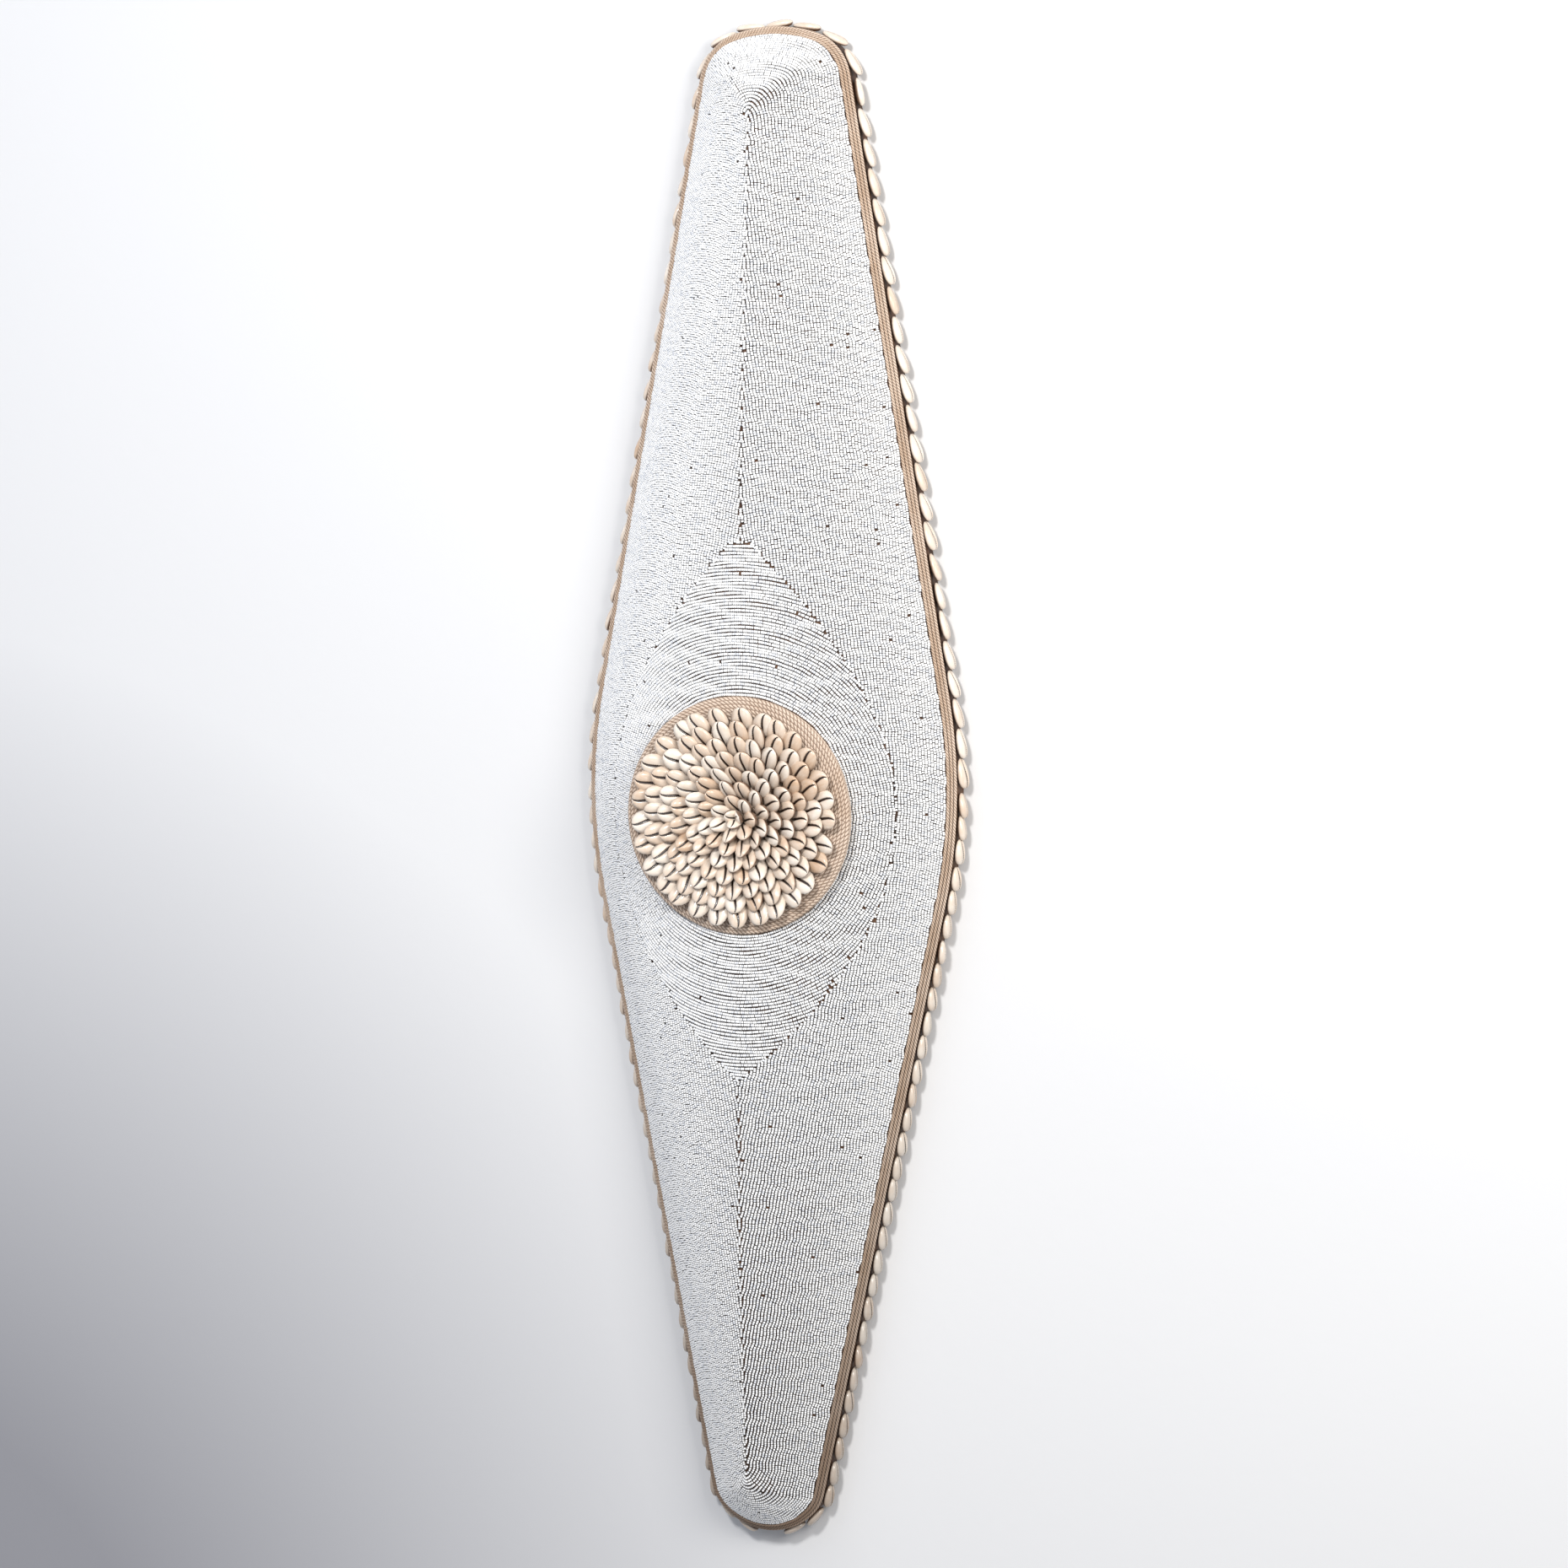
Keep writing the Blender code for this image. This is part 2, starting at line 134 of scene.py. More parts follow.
def flank_slant(end):
    """Slant of a flank line from the long axis, on its way to an end."""
    length, half_width, rise = end[:3]
    return math.atan2(HALF_WIDTH - half_width, length - rise)


def waist_centre():
    """Centre of the arc that rounds the right-hand waist: both flank lines lie one radius from it."""
    slants = np.array((TOP_SLANT, -FOOT_SLANT))
    normals = np.stack((np.cos(slants), np.sin(slants)), axis=1)
    return np.linalg.solve(normals, normals[:, 0] * HALF_WIDTH - WAIST_RADIUS)


WAIST_Y = (FOOT_END[0] - TOP_END[0]) / 2
TOP_SLANT = flank_slant(TOP_END)
FOOT_SLANT = flank_slant(FOOT_END)
WAIST_CENTRE = waist_centre()
FULL_DEPTH = WAIST_RADIUS + WAIST_CENTRE[0]
RIM_SLOPE = math.atan(CROWN_RISE * CROWN_POWER / FULL_DEPTH)
SINK = (BEAD_THICKNESS + GAP) / math.cos(RIM_SLOPE)
CORD_PITCH = CORD_DIAMETER + GAP
BAND_WIDTH = CORD_PITCH * len(CORD_NAMES)
BAND_REACH = BAND_WIDTH * math.cos(RIM_SLOPE)
WALL_HEIGHT = RIM_HEIGHT - SINK - BAND_WIDTH * math.sin(RIM_SLOPE)
CROWN_HEIGHT = RIM_HEIGHT + CROWN_RISE
PAD_PLANE = CROWN_HEIGHT + PAD_EDGE_LIFT
PAD_CENTRE = np.array((0.0, WAIST_Y + PAD_CENTRE_Y))
LOZENGE_CUT = LOZENGE_TOP_LENGTH * (1.0 - LOZENGE_TOP_BLUNT / LOZENGE_HALF_WIDTH) ** (1.0 / LOZENGE_TOP_POWER)


def end_arc(end):
    """Radius of an end's arc and its centre along the axis from the waist."""
    length, half_width, rise = end[:3]
    radius = (half_width ** 2 + rise ** 2) / (2 * rise)
    return radius, length - radius


def end_corner(end, slant, depth):
    """Where an end's arc meets the flank, both moved inwards, from the arc's centre, and the angle there."""
    radius, centre_y = end_arc(end)
    height = HALF_WIDTH * math.cos(slant) - depth - centre_y * math.sin(slant)
    run = math.sqrt((radius - depth) ** 2 - height ** 2)
    across = height * math.cos(slant) - run * math.sin(slant)
    along = height * math.sin(slant) + run * math.cos(slant)
    return np.array((across, along)), math.atan2(across, along)


def end_line(end, slant, depth):
    """Half of an end moved inwards, pointing along +Y from the waist: its arc, then its rounded corner."""
    radius, centre_y = end_arc(end)
    inner = max(depth, end[3])
    meet_y = (HALF_WIDTH * math.cos(slant) - inner) / math.sin(slant)
    if meet_y <= centre_y + radius - inner:
        return np.tile((0.0, max(meet_y, 0.0)), (END_STEPS + CORNER_STEPS + 1, 1))
    corner, sweep = end_corner(end, slant, inner)
    arc = np.linspace(0.0, sweep, END_STEPS + 1)
    bend = np.linspace(sweep, math.pi / 2 - slant, CORNER_STEPS + 1)[1:]
    arc = (radius - depth) * np.stack((np.sin(arc), np.cos(arc)), axis=1)
    bend = corner + (inner - depth) * np.stack((np.sin(bend), np.cos(bend)), axis=1)
    return np.concatenate((arc, bend)) + (0.0, centre_y)


def waist_line(depth):
    """The right-hand waist arc moved inwards by depth and stopped at the long axis."""
    radius = WAIST_RADIUS - depth
    stop = math.acos(min(1.0, -WAIST_CENTRE[0] / radius))
    angles = np.linspace(min(TOP_SLANT, stop), -min(FOOT_SLANT, stop), WAIST_STEPS + 1)
    across = np.maximum(WAIST_CENTRE[0] + radius * np.cos(angles), 0.0)
    return np.stack((across, WAIST_CENTRE[1] + radius * np.sin(angles)), axis=1)


def between(start, end):
    """Points spaced evenly along a flank, without its ends."""
    shares = np.arange(1, FLANK_STEPS)[:, None] / FLANK_STEPS
    return start + (end - start) * shares


def outline(depth):
    """The beadwork's closed outline moved inwards by depth, clockwise from the middle of the top end."""
    waist = waist_line(depth)
    top = end_line(TOP_END, TOP_SLANT, depth)
    foot = (end_line(FOOT_END, FOOT_SLANT, depth) * (1, -1))[::-1]
    if waist[0, 0] <= 0.0 or top[0, 1] < waist[0, 1]:
        top = np.tile(waist[0], (len(top), 1))
    if waist[-1, 0] <= 0.0 or foot[-1, 1] > waist[-1, 1]:
        foot = np.tile(waist[-1], (len(foot), 1))
    flanks = between(top[-1], waist[0]), between(waist[-1], foot[0])
    right = np.concatenate((top, flanks[0], waist, flanks[1], foot))
    left = (right * (-1, 1))[-2:0:-1]
    return np.concatenate((right, left)) + (0.0, WAIST_Y)


def end_depth(across, along, end, slant, flank):
    """Distance in from an end along +Y: from its rounded corner there, else from its arc or the flank."""
    radius, centre_y = end_arc(end)
    beyond = along - centre_y
    arc = np.where(beyond > 0.0, radius - np.hypot(across, beyond), radius - beyond)
    corner, sweep = end_corner(end, slant, end[3])
    turn = np.arctan2(across - corner[0], beyond - corner[1])
    rounded = end[3] - np.hypot(across - corner[0], beyond - corner[1])
    return np.where((turn > sweep) & (turn < math.pi / 2 - slant), rounded, np.minimum(arc, flank))


def depth_at(x, y):
    """Distance in from the beadwork's outline: the least of those from flanks, waist arcs and ends."""
    across, along = np.abs(x), y - WAIST_Y
    top = (HALF_WIDTH - across) * math.cos(TOP_SLANT) - along * math.sin(TOP_SLANT)
    foot = (HALF_WIDTH - across) * math.cos(FOOT_SLANT) + along * math.sin(FOOT_SLANT)
    from_centre = across - WAIST_CENTRE[0], along - WAIST_CENTRE[1]
    turn = np.arctan2(from_centre[1], from_centre[0])
    arc = WAIST_RADIUS - np.hypot(*from_centre)
    flank = np.where((turn < TOP_SLANT) & (turn > -FOOT_SLANT), arc, np.minimum(top, foot))
    top = end_depth(across, along, TOP_END, TOP_SLANT, flank)
    return np.minimum(top, end_depth(across, -along, FOOT_END, FOOT_SLANT, flank))


# Share of the way past the outline to which the face goes on, for the row of beads that wraps the rim
OVERHANG = 0.05


def face_height(depth):
    """Height of the face: rim plus crown times one less a power of the share of the way to the outline."""
    share = np.clip(1.0 - depth / FULL_DEPTH, 0.0, 1.0 + OVERHANG)
    return RIM_HEIGHT + CROWN_RISE * (1.0 - share ** CROWN_POWER)


def face_slope(depth):
    """Slope of the beaded face across its outline."""
    share = np.clip(1.0 - depth / FULL_DEPTH, 0.0, 1.0)
    return CROWN_RISE * CROWN_POWER / FULL_DEPTH * share ** (CROWN_POWER - 1.0)


def face_normal(x, y):
    """Unit normal of the face from the differences of its height to either side."""
    run = 2 * SLOPE_STEP
    rise_x = face_height(depth_at(x + SLOPE_STEP, y)) - face_height(depth_at(x - SLOPE_STEP, y))
    rise_y = face_height(depth_at(x, y + SLOPE_STEP)) - face_height(depth_at(x, y - SLOPE_STEP))
    return unit(np.stack((-rise_x / run, -rise_y / run, np.ones_like(x)), axis=1))


def unit(vectors):
    """Vectors of length one."""
    return vectors / np.maximum(np.linalg.norm(vectors, axis=-1, keepdims=True), 1e-12)


def crosswise(ahead):
    """Directions in plan turned a quarter turn to the left."""
    return np.stack((-ahead[:, 1], ahead[:, 0]), axis=1)


def lozenge_half(along):
    """Half width of the lozenge at places along the axis from the waist, and how steeply it narrows there."""
    length = np.where(along > 0.0, LOZENGE_TOP_LENGTH, LOZENGE_FOOT_LENGTH)
    power = np.where(along > 0.0, LOZENGE_TOP_POWER, LOZENGE_FOOT_POWER)
    share = np.abs(along) / length
    half = LOZENGE_HALF_WIDTH * (1.0 - share ** power)
    return half, LOZENGE_HALF_WIDTH * power * share ** (power - 1.0) / length


def lozenge_inside(x, y):
    """Distance inside the lozenge's seam, negative outside: half width less place, over its steepness."""
    along = y - WAIST_Y
    half, steepness = lozenge_half(along)
    return np.minimum((half - np.abs(x)) / np.hypot(1.0, steepness), LOZENGE_CUT - along)


def surface_steps(points):
    """Distances reached along a line of points, starting at nothing."""
    return np.concatenate(([0.0], np.cumsum(np.linalg.norm(np.diff(points, axis=0), axis=1))))


def line_point(line, reached, places):
    """Points at places along a line whose corners lie at the distances reached, kept within its ends."""
    return np.stack([np.interp(places, reached, line[:, axis]) for axis in (0, 1)], axis=1)


def along_line(line, reached, places):
    """Points at places along a closed line, where a place past its end is counted on from its start."""
    return line_point(line, reached, np.mod(places, reached[-1]))


def closed(line):
    """A line with its first point again at its end."""
    return np.concatenate((line, line[:1]))


def evenly(line, step):
    """A closed line as points a step apart."""
    looped = closed(line)
    reached = surface_steps(looped)
    count = max(8, round(reached[-1] / step))
    return along_line(looped, reached, np.arange(count) * reached[-1] / count)


def running_mean(line, window):
    """Each point of a closed line moved to the mean of its neighbours within the window."""
    reach = max(1, min(int(window / LINE_STEP / 2), len(line) // 6))
    wrapped = np.concatenate((line[-reach:], line, line[:reach]))
    kernel = np.full(2 * reach + 1, 1.0 / (2 * reach + 1))
    return np.stack([np.convolve(wrapped[:, axis], kernel, "valid") for axis in (0, 1)], axis=1)


def put_mesh(name, points, faces, material, values=None):
    """A smooth mesh object from an array of points, arrays of faces and named values for its points."""
    mesh = bpy.data.meshes.new(name)
    corners = np.concatenate([group.ravel() for group in faces]).astype(np.int32)
    sizes = np.concatenate([np.full(len(group), group.shape[1]) for group in faces])
    starts = np.concatenate(([0], np.cumsum(sizes)[:-1])).astype(np.int32)
    mesh.vertices.add(len(points))
    mesh.vertices.foreach_set("co", np.asarray(points, dtype=np.float32).ravel())
    mesh.loops.add(len(corners))
    mesh.loops.foreach_set("vertex_index", corners)
    mesh.polygons.add(len(sizes))
    mesh.polygons.foreach_set("loop_start", starts)
    mesh.polygons.foreach_set("use_smooth", np.ones(len(sizes), dtype=bool))
    mesh.update(calc_edges=True)
    for label, value in (values or {}).items():
        flat = np.asarray(value, dtype=np.float32)
        kind, field = ("FLOAT", "value") if flat.ndim == 1 else ("FLOAT_VECTOR", "vector")
        mesh.attributes.new(label, kind, "POINT").data.foreach_set(field, flat.ravel())
    mesh.materials.append(material)
    piece = bpy.data.objects.new(name, mesh)
    bpy.context.scene.collection.objects.link(piece)
    return piece


def finish_piece(piece, slot, *nodes):
    """Attaches a piece to the root body and hides the solids that it stands for; the slot argument is not
    used.
    """
    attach(piece, "root")
    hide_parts(*nodes)


def grid_faces(rows, columns, wrap_rows=False, wrap_columns=True):
    """Quads of a grid, row by row, that closes on itself from last to first row or column where it wraps."""
    row = np.arange(rows if wrap_rows else rows - 1)[:, None]
    column = np.arange(columns if wrap_columns else columns - 1)[None, :]
    after_row, after_column = (row + 1) % rows, (column + 1) % columns
    corners = (row, column), (row, after_column), (after_row, after_column), (after_row, column)
    return np.stack([(r * columns + c).ravel() for r, c in corners], axis=1)


def fan(ring, hub):
    """Triangles from each point of a ring and the next one to the hub."""
    return np.stack((ring, np.roll(ring, -1), np.full_like(ring, hub)), axis=1)


def repeat_faces(faces, count, size):
    """Faces of a shape of so many points numbered on for so many copies of it."""
    return (faces[None] + (np.arange(count) * size)[:, None, None]).reshape(-1, faces.shape[1])


def set_out(centres, local, along, side, up):
    """Points of many like shapes: each centre plus the shape's own points times its three directions."""
    points = centres[:, None] + local[..., :1] * along[:, None]
    points = points + local[..., 1:2] * side[:, None] + local[..., 2:] * up[:, None]
    return points.reshape(-1, 3)


# Output that stands for a node when the node itself is given as an input; for all other kinds it is the first
MAIN_OUTPUTS = {"ShaderNodeAttribute": "Fac", "ShaderNodeMix": 2, "ShaderNodeTexCoord": "Object"}
# Numbers of a colour mix's sockets. A map range takes its value as 0, the range it reads as 1 and 2, and the
# range it gives as 3 and 4
MIX_FACTOR, MIX_A, MIX_B = 0, 6, 7


def set_inputs(tree, node, inputs):
    """Sets a node's inputs, named or numbered, to values, or links them to sockets or to whole nodes."""
    for key, value in inputs.items():
        if isinstance(value, bpy.types.Node):
            value = value.outputs[MAIN_OUTPUTS.get(value.bl_idname, 0)]
        if isinstance(value, bpy.types.NodeSocket):
            tree.links.new(value, node.inputs[key])
        else:
            node.inputs[key].default_value = value


def add_node(tree, kind, inputs=None, **settings):
    """Adds a node of a kind with its settings and its inputs."""
    node = tree.nodes.new(kind)
    for name, value in settings.items():
        setattr(node, name, value)
    set_inputs(tree, node, inputs or {})
    return node


def new_material(name, **sockets):
    """A material with its principled shader, whose even values are set on the shader's own sockets."""
    material = bpy.data.materials.new(name)
    material.use_nodes = True
    shader = material.node_tree.nodes["Principled BSDF"]
    set_inputs(material.node_tree, shader, {key.replace("_", " "): value for key, value in sockets.items()})
    return material, material.node_tree, shader


def opaque(colour):
    """A colour with full cover, as a node's socket takes it."""
    return (*colour, 1.0)


class ShieldBeads(bpy.types.PropertyGroup):
    """Sizes and colours of the strung glass beads."""

    row_pitch: bpy.props.FloatProperty(
        name="Row pitch", description="Distance between rows, along the face",
        default=0.0026, unit="LENGTH", precision=5)
    bead_pitch: bpy.props.FloatProperty(
        name="Bead pitch", description="Distance between beads in a row",
        default=0.0018, unit="LENGTH", precision=5)
    missing: bpy.props.FloatProperty(
        name="Missing", description="Share of beads that have come off",
        default=0.0015, subtype="FACTOR", min=0, max=1)
    white: bpy.props.FloatVectorProperty(
        name="White", description="Colour of most beads",
        default=hex_colour("#FFFEFC"), subtype="COLOR")
    grey: bpy.props.FloatVectorProperty(
        name="Grey", description="Colour of the dullest beads",
        default=hex_colour("#E2E4E8"), subtype="COLOR")
    # Painted shade: the colour that the lower part of each bead is mixed towards, as shade between beads
    gap_shade: bpy.props.FloatVectorProperty(
        name="Gap_shade", description="Colour of the dust between beads",
        default=hex_colour("#7C756F"), subtype="COLOR")


class ShieldJute(bpy.types.PropertyGroup):
    """Sizes and colours of the twisted jute."""

    lay_length: bpy.props.FloatProperty(
        name="Lay length", description="Length of one turn of the strands",
        default=0.0078, unit="LENGTH", precision=5)
    straw: bpy.props.FloatVectorProperty(
        name="Straw", description="Colour of the strands' crests",
        default=hex_colour("#E4CFBB"), subtype="COLOR")
    shade: bpy.props.FloatVectorProperty(
        name="Shade", description="Colour of the darker fibres",
        default=hex_colour("#C3A78D"), subtype="COLOR")
    # Painted shade between the strands, between the pad's rows and under each cord
    groove: bpy.props.FloatVectorProperty(
        name="Groove", description="Colour between the strands",
        default=hex_colour("#7A5B45"), subtype="COLOR")


class ShieldShells(bpy.types.PropertyGroup):
    """Sizes and colours of the cowrie shells."""

    boss_width: bpy.props.FloatProperty(
        name="Boss shell width", description="Width of a shell on the boss",
        default=0.0188, unit="LENGTH", precision=5)
    tooth_pitch: bpy.props.FloatProperty(
        name="Tooth pitch", description="Distance between teeth along a slit",
        default=0.0011, unit="LENGTH", precision=5)
    cream: bpy.props.FloatVectorProperty(
        name="Cream", description="Colour of the palest shells",
        default=hex_colour("#F3E7D8"), subtype="COLOR")
    tan: bpy.props.FloatVectorProperty(
        name="Tan", description="Colour of the darkest shells",
        default=hex_colour("#CEAC8C"), subtype="COLOR")
    # Painted shade inside the slit and between its teeth
    slit: bpy.props.FloatVectorProperty(
        name="Slit", description="Colour inside the slit",
        default=hex_colour("#2E2019"), subtype="COLOR")


class ShieldBoard(bpy.types.PropertyGroup):
    """Colours and tool marks of the carved board."""

    tool_mark: bpy.props.FloatProperty(
        name="Tool mark", description="Depth of the gouge marks in the back",
        default=0.0005, unit="LENGTH", precision=5)
    stain: bpy.props.FloatVectorProperty(
        name="Stain", description="Colour of the stained wood",
        default=hex_colour("#6B4A35"), subtype="COLOR")
    grain: bpy.props.FloatVectorProperty(
        name="Grain", description="Colour of the dark grain",
        default=hex_colour("#36241A"), subtype="COLOR")


class ShieldStage(bpy.types.PropertyGroup):
    """Colour of the floor and strength of the lights."""

    floor: bpy.props.FloatVectorProperty(
        name="Floor", description="Colour of the floor", default=hex_colour("#E3E2E1"), subtype="COLOR")
    # Painted shade: the colour that the floor darkens to near one corner
    corner: bpy.props.FloatVectorProperty(
        name="Corner", description="Colour of the floor's dull corner",
        default=hex_colour("#9E9DA1"), subtype="COLOR")
    top: bpy.props.FloatProperty(
        name="Top light", description="Power of the light past the top end", default=42.0, unit="POWER")
    right: bpy.props.FloatProperty(
        name="Right light", description="Power of the light on the right", default=30.0, unit="POWER")
    left: bpy.props.FloatProperty(
        name="Left light", description="Power of the bluish light on the left",
        default=3.5, unit="POWER")
    sky: bpy.props.FloatProperty(
        name="Room light", description="Strength of the even light all round", default=0.45, min=0)


def foot_soil_and_shade(tree, colour):
    """A colour that grows darker towards the foot: partly soil where the shield has been set down and handled
    most, partly painted shade where the light falls off.
    """
    place = add_node(tree, "ShaderNodeTexCoord")
    parts = add_node(tree, "ShaderNodeSeparateXYZ", {0: place})
    most = add_node(
        tree, "ShaderNodeMapRange", {0: parts.outputs["Y"], 1: -0.5, 2: -0.03, 3: FOOT_SOIL_AND_SHADE_MOST, 4: 0.0})
    soil_and_shade = opaque(hex_colour(FOOT_SOIL_AND_SHADE_COLOUR))
    return add_node(tree, "ShaderNodeMix", {MIX_FACTOR: most, MIX_A: colour, MIX_B: soil_and_shade}, data_type="RGBA")


def glass_bead_material(beads):
    """Opaque white glass, fire polished: small highlights, uneven whites, and painted shade between beads,
    deeper towards the foot and at the top end.
    """
    material, tree, shader = new_material(
        BEAD_GLASS, IOR=1.52, Metallic=0.0, Coat_Weight=0.15, Coat_Roughness=0.12)
    tone = add_node(tree, "ShaderNodeAttribute", attribute_name="tone")
    dull = add_node(tree, "ShaderNodeMapRange", {0: tone, 1: 0.7, 2: 1.0})
    white, grey, gap_shade = opaque(beads.white), opaque(beads.grey), opaque(beads.gap_shade)
    colour = add_node(tree, "ShaderNodeMix", {MIX_FACTOR: dull, MIX_A: white, MIX_B: grey}, data_type="RGBA")
    # Painted shade between beads: the lower corners, marked by the low value, are mixed towards the gap shade
    # colour, most at the foot, least in the middle and more again at the top end
    low = add_node(tree, "ShaderNodeAttribute", attribute_name="low")
    place = add_node(tree, "ShaderNodeTexCoord")
    parts = add_node(tree, "ShaderNodeSeparateXYZ", {0: place})
    foot = add_node(tree, "ShaderNodeMapRange", {0: parts.outputs["Y"], 1: -0.5, 2: 0.1, 3: 1.0, 4: 0.12})
    top = add_node(tree, "ShaderNodeMapRange", {0: parts.outputs["Y"], 1: 0.49, 2: 0.56, 3: 0.0, 4: 0.75})
    most = add_node(tree, "ShaderNodeMath", {0: foot, 1: top}, operation="MAXIMUM")
    gap_shade_share = add_node(tree, "ShaderNodeMapRange", {0: low, 1: 0.1, 2: 0.85, 3: 0.0, 4: most})
    gap_shaded = add_node(
        tree, "ShaderNodeMix", {MIX_FACTOR: gap_shade_share, MIX_A: colour, MIX_B: gap_shade}, data_type="RGBA")
    polish = add_node(tree, "ShaderNodeMapRange", {0: tone, 3: 0.22, 4: 0.42})
    set_inputs(tree, shader, {"Base Color": gap_shaded, "Roughness": polish})
    return material


def jute_material(jute, name, darkness, strands):
    """Raw jute laid up as cord: dull straw, streaks of fibre, and painted shade in sloping lines between its
    strands and in its grooves.
    """
    material, tree, shader = new_material(
        name, Roughness=0.88, Metallic=0.0, Sheen_Weight=0.18, Sheen_Roughness=0.6,
        Sheen_Tint=opaque(jute.straw))
    lay = add_node(tree, "ShaderNodeAttribute", attribute_name="lay")
    groove = add_node(tree, "ShaderNodeAttribute", attribute_name="groove")
    parts = add_node(tree, "ShaderNodeSeparateXYZ", {0: lay.outputs["Vector"]})
    turn = add_node(
        tree, "ShaderNodeMath", {0: parts.outputs["Y"], 1: parts.outputs["X"]}, operation="ARCTAN2")
    half = add_node(tree, "ShaderNodeMath", {0: turn, 1: strands / 2}, operation="MULTIPLY")
    wave = add_node(tree, "ShaderNodeMath", {0: half}, operation="COSINE")
    lobe = add_node(tree, "ShaderNodeMath", {0: wave}, operation="ABSOLUTE")
    streak = add_node(
        tree, "ShaderNodeTexNoise", {"Vector": lay.outputs["Vector"], "Scale": 3.4, "Detail": 5.0})
    place = add_node(tree, "ShaderNodeTexCoord")
    patch = add_node(tree, "ShaderNodeTexNoise", {"Vector": place, "Scale": 26.0, "Detail": 3.0})
    both = add_node(tree, "ShaderNodeMath", {0: streak, 1: patch}, operation="ADD")
    spread = add_node(tree, "ShaderNodeMapRange", {0: both, 1: 0.78 - darkness, 2: 1.22 - darkness})
    straw, shade = opaque(jute.straw), opaque(jute.shade)
    fibre = add_node(
        tree, "ShaderNodeMix", {MIX_FACTOR: spread, MIX_A: straw, MIX_B: shade}, data_type="RGBA")
    # Painted shade: dark sloping lines between the strands, and the groove value, which marks the cord's
    # underside and the gaps between the pad's rows
    line = add_node(tree, "ShaderNodeMapRange", {0: lobe, 1: 0.1, 2: 0.8, 3: 0.9, 4: 0.0})
    crevice = add_node(tree, "ShaderNodeMapRange", {0: groove, 1: 0.3, 2: 1.0, 3: 0.0, 4: 0.9})
    deep = add_node(tree, "ShaderNodeMath", {0: line, 1: crevice}, operation="MAXIMUM")
    along = add_node(tree, "ShaderNodeSeparateXYZ", {0: place})
    # Soil and painted shade at the very end of the foot: the cord is mixed further towards the groove colour
    foot_end_soil_and_shade = add_node(
        tree, "ShaderNodeMapRange", {0: along.outputs["Y"], 1: -0.56, 2: -0.42, 3: 0.45 + darkness, 4: 0.0})
    dark = add_node(tree, "ShaderNodeMath", {0: deep, 1: foot_end_soil_and_shade}, operation="MAXIMUM")
    colour = add_node(
        tree, "ShaderNodeMix", {MIX_FACTOR: dark, MIX_A: fibre, MIX_B: opaque(jute.groove)}, data_type="RGBA")
    height = add_node(tree, "ShaderNodeMath", {0: streak, 1: 0.35, 2: lobe}, operation="MULTIPLY_ADD")
    bump = add_node(tree, "ShaderNodeBump", {"Strength": 0.7, "Distance": 0.0006, "Height": height})
    set_inputs(tree, shader, {"Base Color": foot_soil_and_shade(tree, colour), "Normal": bump})
    return material


def cowrie_material(shells):
    """Natural cowrie enamel: glossy cream to tan, faint stripes, painted shade in the toothed slit, and
    painted contact shade low down.
    """
    material, tree, shader = new_material(
        SHELL_ENAMEL, IOR=1.53, Metallic=0.0, Coat_Weight=0.35, Coat_Roughness=0.08)
    tone, slit, under, place = [
        add_node(tree, "ShaderNodeAttribute", attribute_name=name)
        for name in ("tone", "slit", "under", "place")]
    parts = add_node(tree, "ShaderNodeSeparateXYZ", {0: place.outputs["Vector"]})
    object_place = add_node(tree, "ShaderNodeTexCoord")
    cloud = add_node(tree, "ShaderNodeTexNoise", {"Vector": object_place, "Scale": 120.0, "Detail": 3.0})
    stretched = add_node(
        tree, "ShaderNodeVectorMath", {0: place.outputs["Vector"], 1: (1.0, 0.12, 1.0)}, operation="MULTIPLY")
    stripe = add_node(tree, "ShaderNodeTexNoise", {"Vector": stretched, "Scale": 900.0, "Detail": 2.0})
    warm = add_node(tree, "ShaderNodeMath", {0: cloud, 1: tone}, operation="ADD")
    streaked = add_node(tree, "ShaderNodeMath", {0: stripe, 1: 0.5, 2: warm}, operation="MULTIPLY_ADD")
    blend = add_node(tree, "ShaderNodeMapRange", {0: streaked, 1: 0.75, 2: 1.85})
    cream, tan = opaque(shells.cream), opaque(shells.tan)
    enamel = add_node(tree, "ShaderNodeMix", {MIX_FACTOR: blend, MIX_A: cream, MIX_B: tan}, data_type="RGBA")
    # Painted contact shade: the under value mixes the enamel towards dark brown on each shell's back and
    # sides, where it meets its neighbours and the pad
    contact_shade = add_node(tree, "ShaderNodeMapRange", {0: under, 1: 0.3, 2: 0.56, 3: 0.0, 4: 0.94})
    contact_shade_colour = opaque(hex_colour("#6A4A34"))
    contact_shaded = add_node(tree, "ShaderNodeMix", {MIX_FACTOR: contact_shade, MIX_A: enamel, MIX_B: contact_shade_colour}, data_type="RGBA")
    # Painted shade in the slit's recess: the slit value, striped by the teeth, mixes towards the slit colour
    teeth = 2 * math.pi / shells.tooth_pitch
    turns = add_node(tree, "ShaderNodeMath", {0: parts.outputs["Y"], 1: teeth}, operation="MULTIPLY")
    wave = add_node(tree, "ShaderNodeMath", {0: turns}, operation="SINE")
    toothed = add_node(tree, "ShaderNodeMath", {0: wave, 1: 0.16, 2: slit}, operation="MULTIPLY_ADD")
    open_slit = add_node(tree, "ShaderNodeMapRange", {0: toothed, 1: 0.32, 2: 0.58})
    colour = add_node(
        tree, "ShaderNodeMix", {MIX_FACTOR: open_slit, MIX_A: contact_shaded, MIX_B: opaque(shells.slit)},
        data_type="RGBA")
    polish = add_node(tree, "ShaderNodeMapRange", {0: cloud, 1: 0.3, 2: 0.7, 3: 0.2, 4: 0.36})
    set_inputs(tree, shader, {"Base Color": foot_soil_and_shade(tree, colour), "Roughness": polish})
    return material


